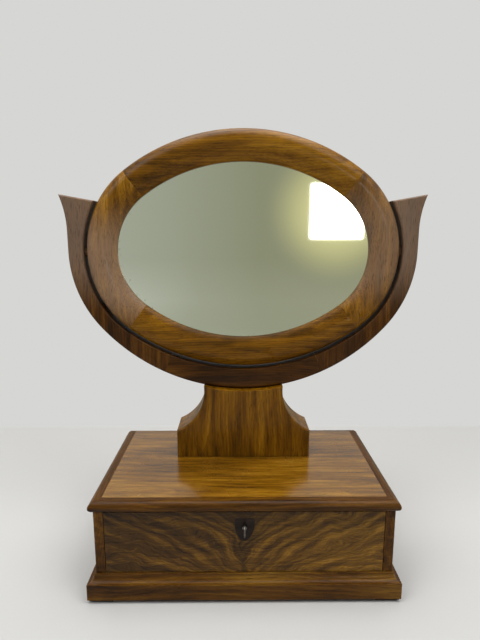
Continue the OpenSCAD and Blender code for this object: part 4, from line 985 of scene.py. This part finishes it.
def window_finish():
    """Daylight through the panes, soft at the edges."""
    material, tree, place = new_material("window_light")
    aside = add(tree, "ShaderNodeVectorMath", {"operation": "SUBTRACT", 1: WINDOW}, {0: place})
    aside = add(tree, "ShaderNodeVectorMath", {"operation": "ABSOLUTE"}, {0: aside})
    split = add(tree, "ShaderNodeSeparateXYZ", {}, {0: aside}).outputs
    edges = [add(tree, "ShaderNodeMapRange", {"smooth": (WINDOW_HALF, WINDOW_HALF * 0.8)},
                 {"Value": split[axis]}) for axis in "XZ"]
    lit = add(tree, "ShaderNodeMath", {"operation": "MULTIPLY"}, {0: edges[0], 1: edges[1]})
    light = add(tree, "ShaderNodeEmission", {"Color": linear("#fffdf8"), "Strength": WINDOW_STRENGTH})
    clear = add(tree, "ShaderNodeBsdfTransparent")
    mix = add(tree, "ShaderNodeMixShader", {}, {0: lit, 1: clear, 2: light})
    return ended(material, tree, mix)


def upright_card(name, y, low, high, material):
    """An upright card behind the camera, given by two corners as (x, z), that only reflections show."""
    card = stage_plane(name, [(low[0], y, low[1]), (low[0], y, high[1]), (high[0], y, high[1]),
                              (high[0], y, low[1])], material)
    card.visible_camera = False
    card.visible_diffuse = False
    card.visible_shadow = False


stage_plane("floor", [(x * FLOOR_HALF, y * FLOOR_HALF, 0) for x, y in ((-1, -1), (1, -1), (1, 1), (-1, 1))],
            floor_finish())
upright_card("room_card", WALL_Y, (-5, -3), (5, 4), room_finish())
# The window hangs 10 mm in front of the wall
upright_card("window_card", WALL_Y + 0.01, (WINDOW[0] - WINDOW_HALF, WINDOW[2] - WINDOW_HALF),
             (WINDOW[0] + WINDOW_HALF, WINDOW[2] + WINDOW_HALF), window_finish())

# The world: the backdrop for the eye and for reflections, and a weak sky that fills the shadows
SKY_STRENGTH = 0.22
world = bpy.data.worlds.new("studio")
scene.world = world
world.use_nodes = True
tree = world.node_tree
tree.nodes.clear()
path = add(tree, "ShaderNodeLightPath").outputs
seen = add(tree, "ShaderNodeMath", {"operation": "MAXIMUM"},
           {0: path["Is Camera Ray"], 1: path["Is Glossy Ray"]})
seen = add(tree, "ShaderNodeMath", {"operation": "MAXIMUM"}, {0: seen, 1: path["Is Transmission Ray"]})
shown = add(tree, "ShaderNodeBackground", {"Color": linear(BACKDROP), "Strength": 1.0})
lit = add(tree, "ShaderNodeBackground", {"Color": linear("#f4f6f8"), "Strength": SKY_STRENGTH})
sky = add(tree, "ShaderNodeMixShader", {}, {0: seen, 1: lit, 2: shown})
add(tree, "ShaderNodeOutputWorld", {}, {0: sky})

# Square lamps with a diffuser, turned to face the part: place and size in metres, watts
LAMPS = {
    "right_lamp": ((1.1, -0.8, 1.9), 1.2, 19),
    "top_lamp": ((0.0, 0.15, 2.1), 1.6, 36),
    "left_lamp": ((-1.2, -0.8, 1.7), 1.2, 17),
}
AIM = Vector((0, 0, 0.3))
for name, (place, size, watts) in LAMPS.items():
    lamp = as_object(name, bpy.data.lights.new(name, "AREA"))
    lamp.data.size = size
    lamp.data.energy = watts
    lamp.location = place
    lamp.rotation_euler = (AIM - Vector(place)).to_track_quat("-Z", "Y").to_euler()

# The camera, as the photograph's vanishing lines and the part's proportions give it
LENS = 25.82
LOOKS_DOWN = 10.11
LOOKS_RIGHT = 0.4
camera = as_object("camera", bpy.data.cameras.new("camera"))
scene.camera = camera
camera.data.sensor_width = 36
camera.data.lens = LENS
camera.data.clip_start = 0.02
camera.location = (-0.0092, -0.609, 0.4472)
camera.rotation_euler = (math.radians(90 - LOOKS_DOWN), 0, -math.radians(LOOKS_RIGHT))

scene.view_settings.view_transform = "Standard"
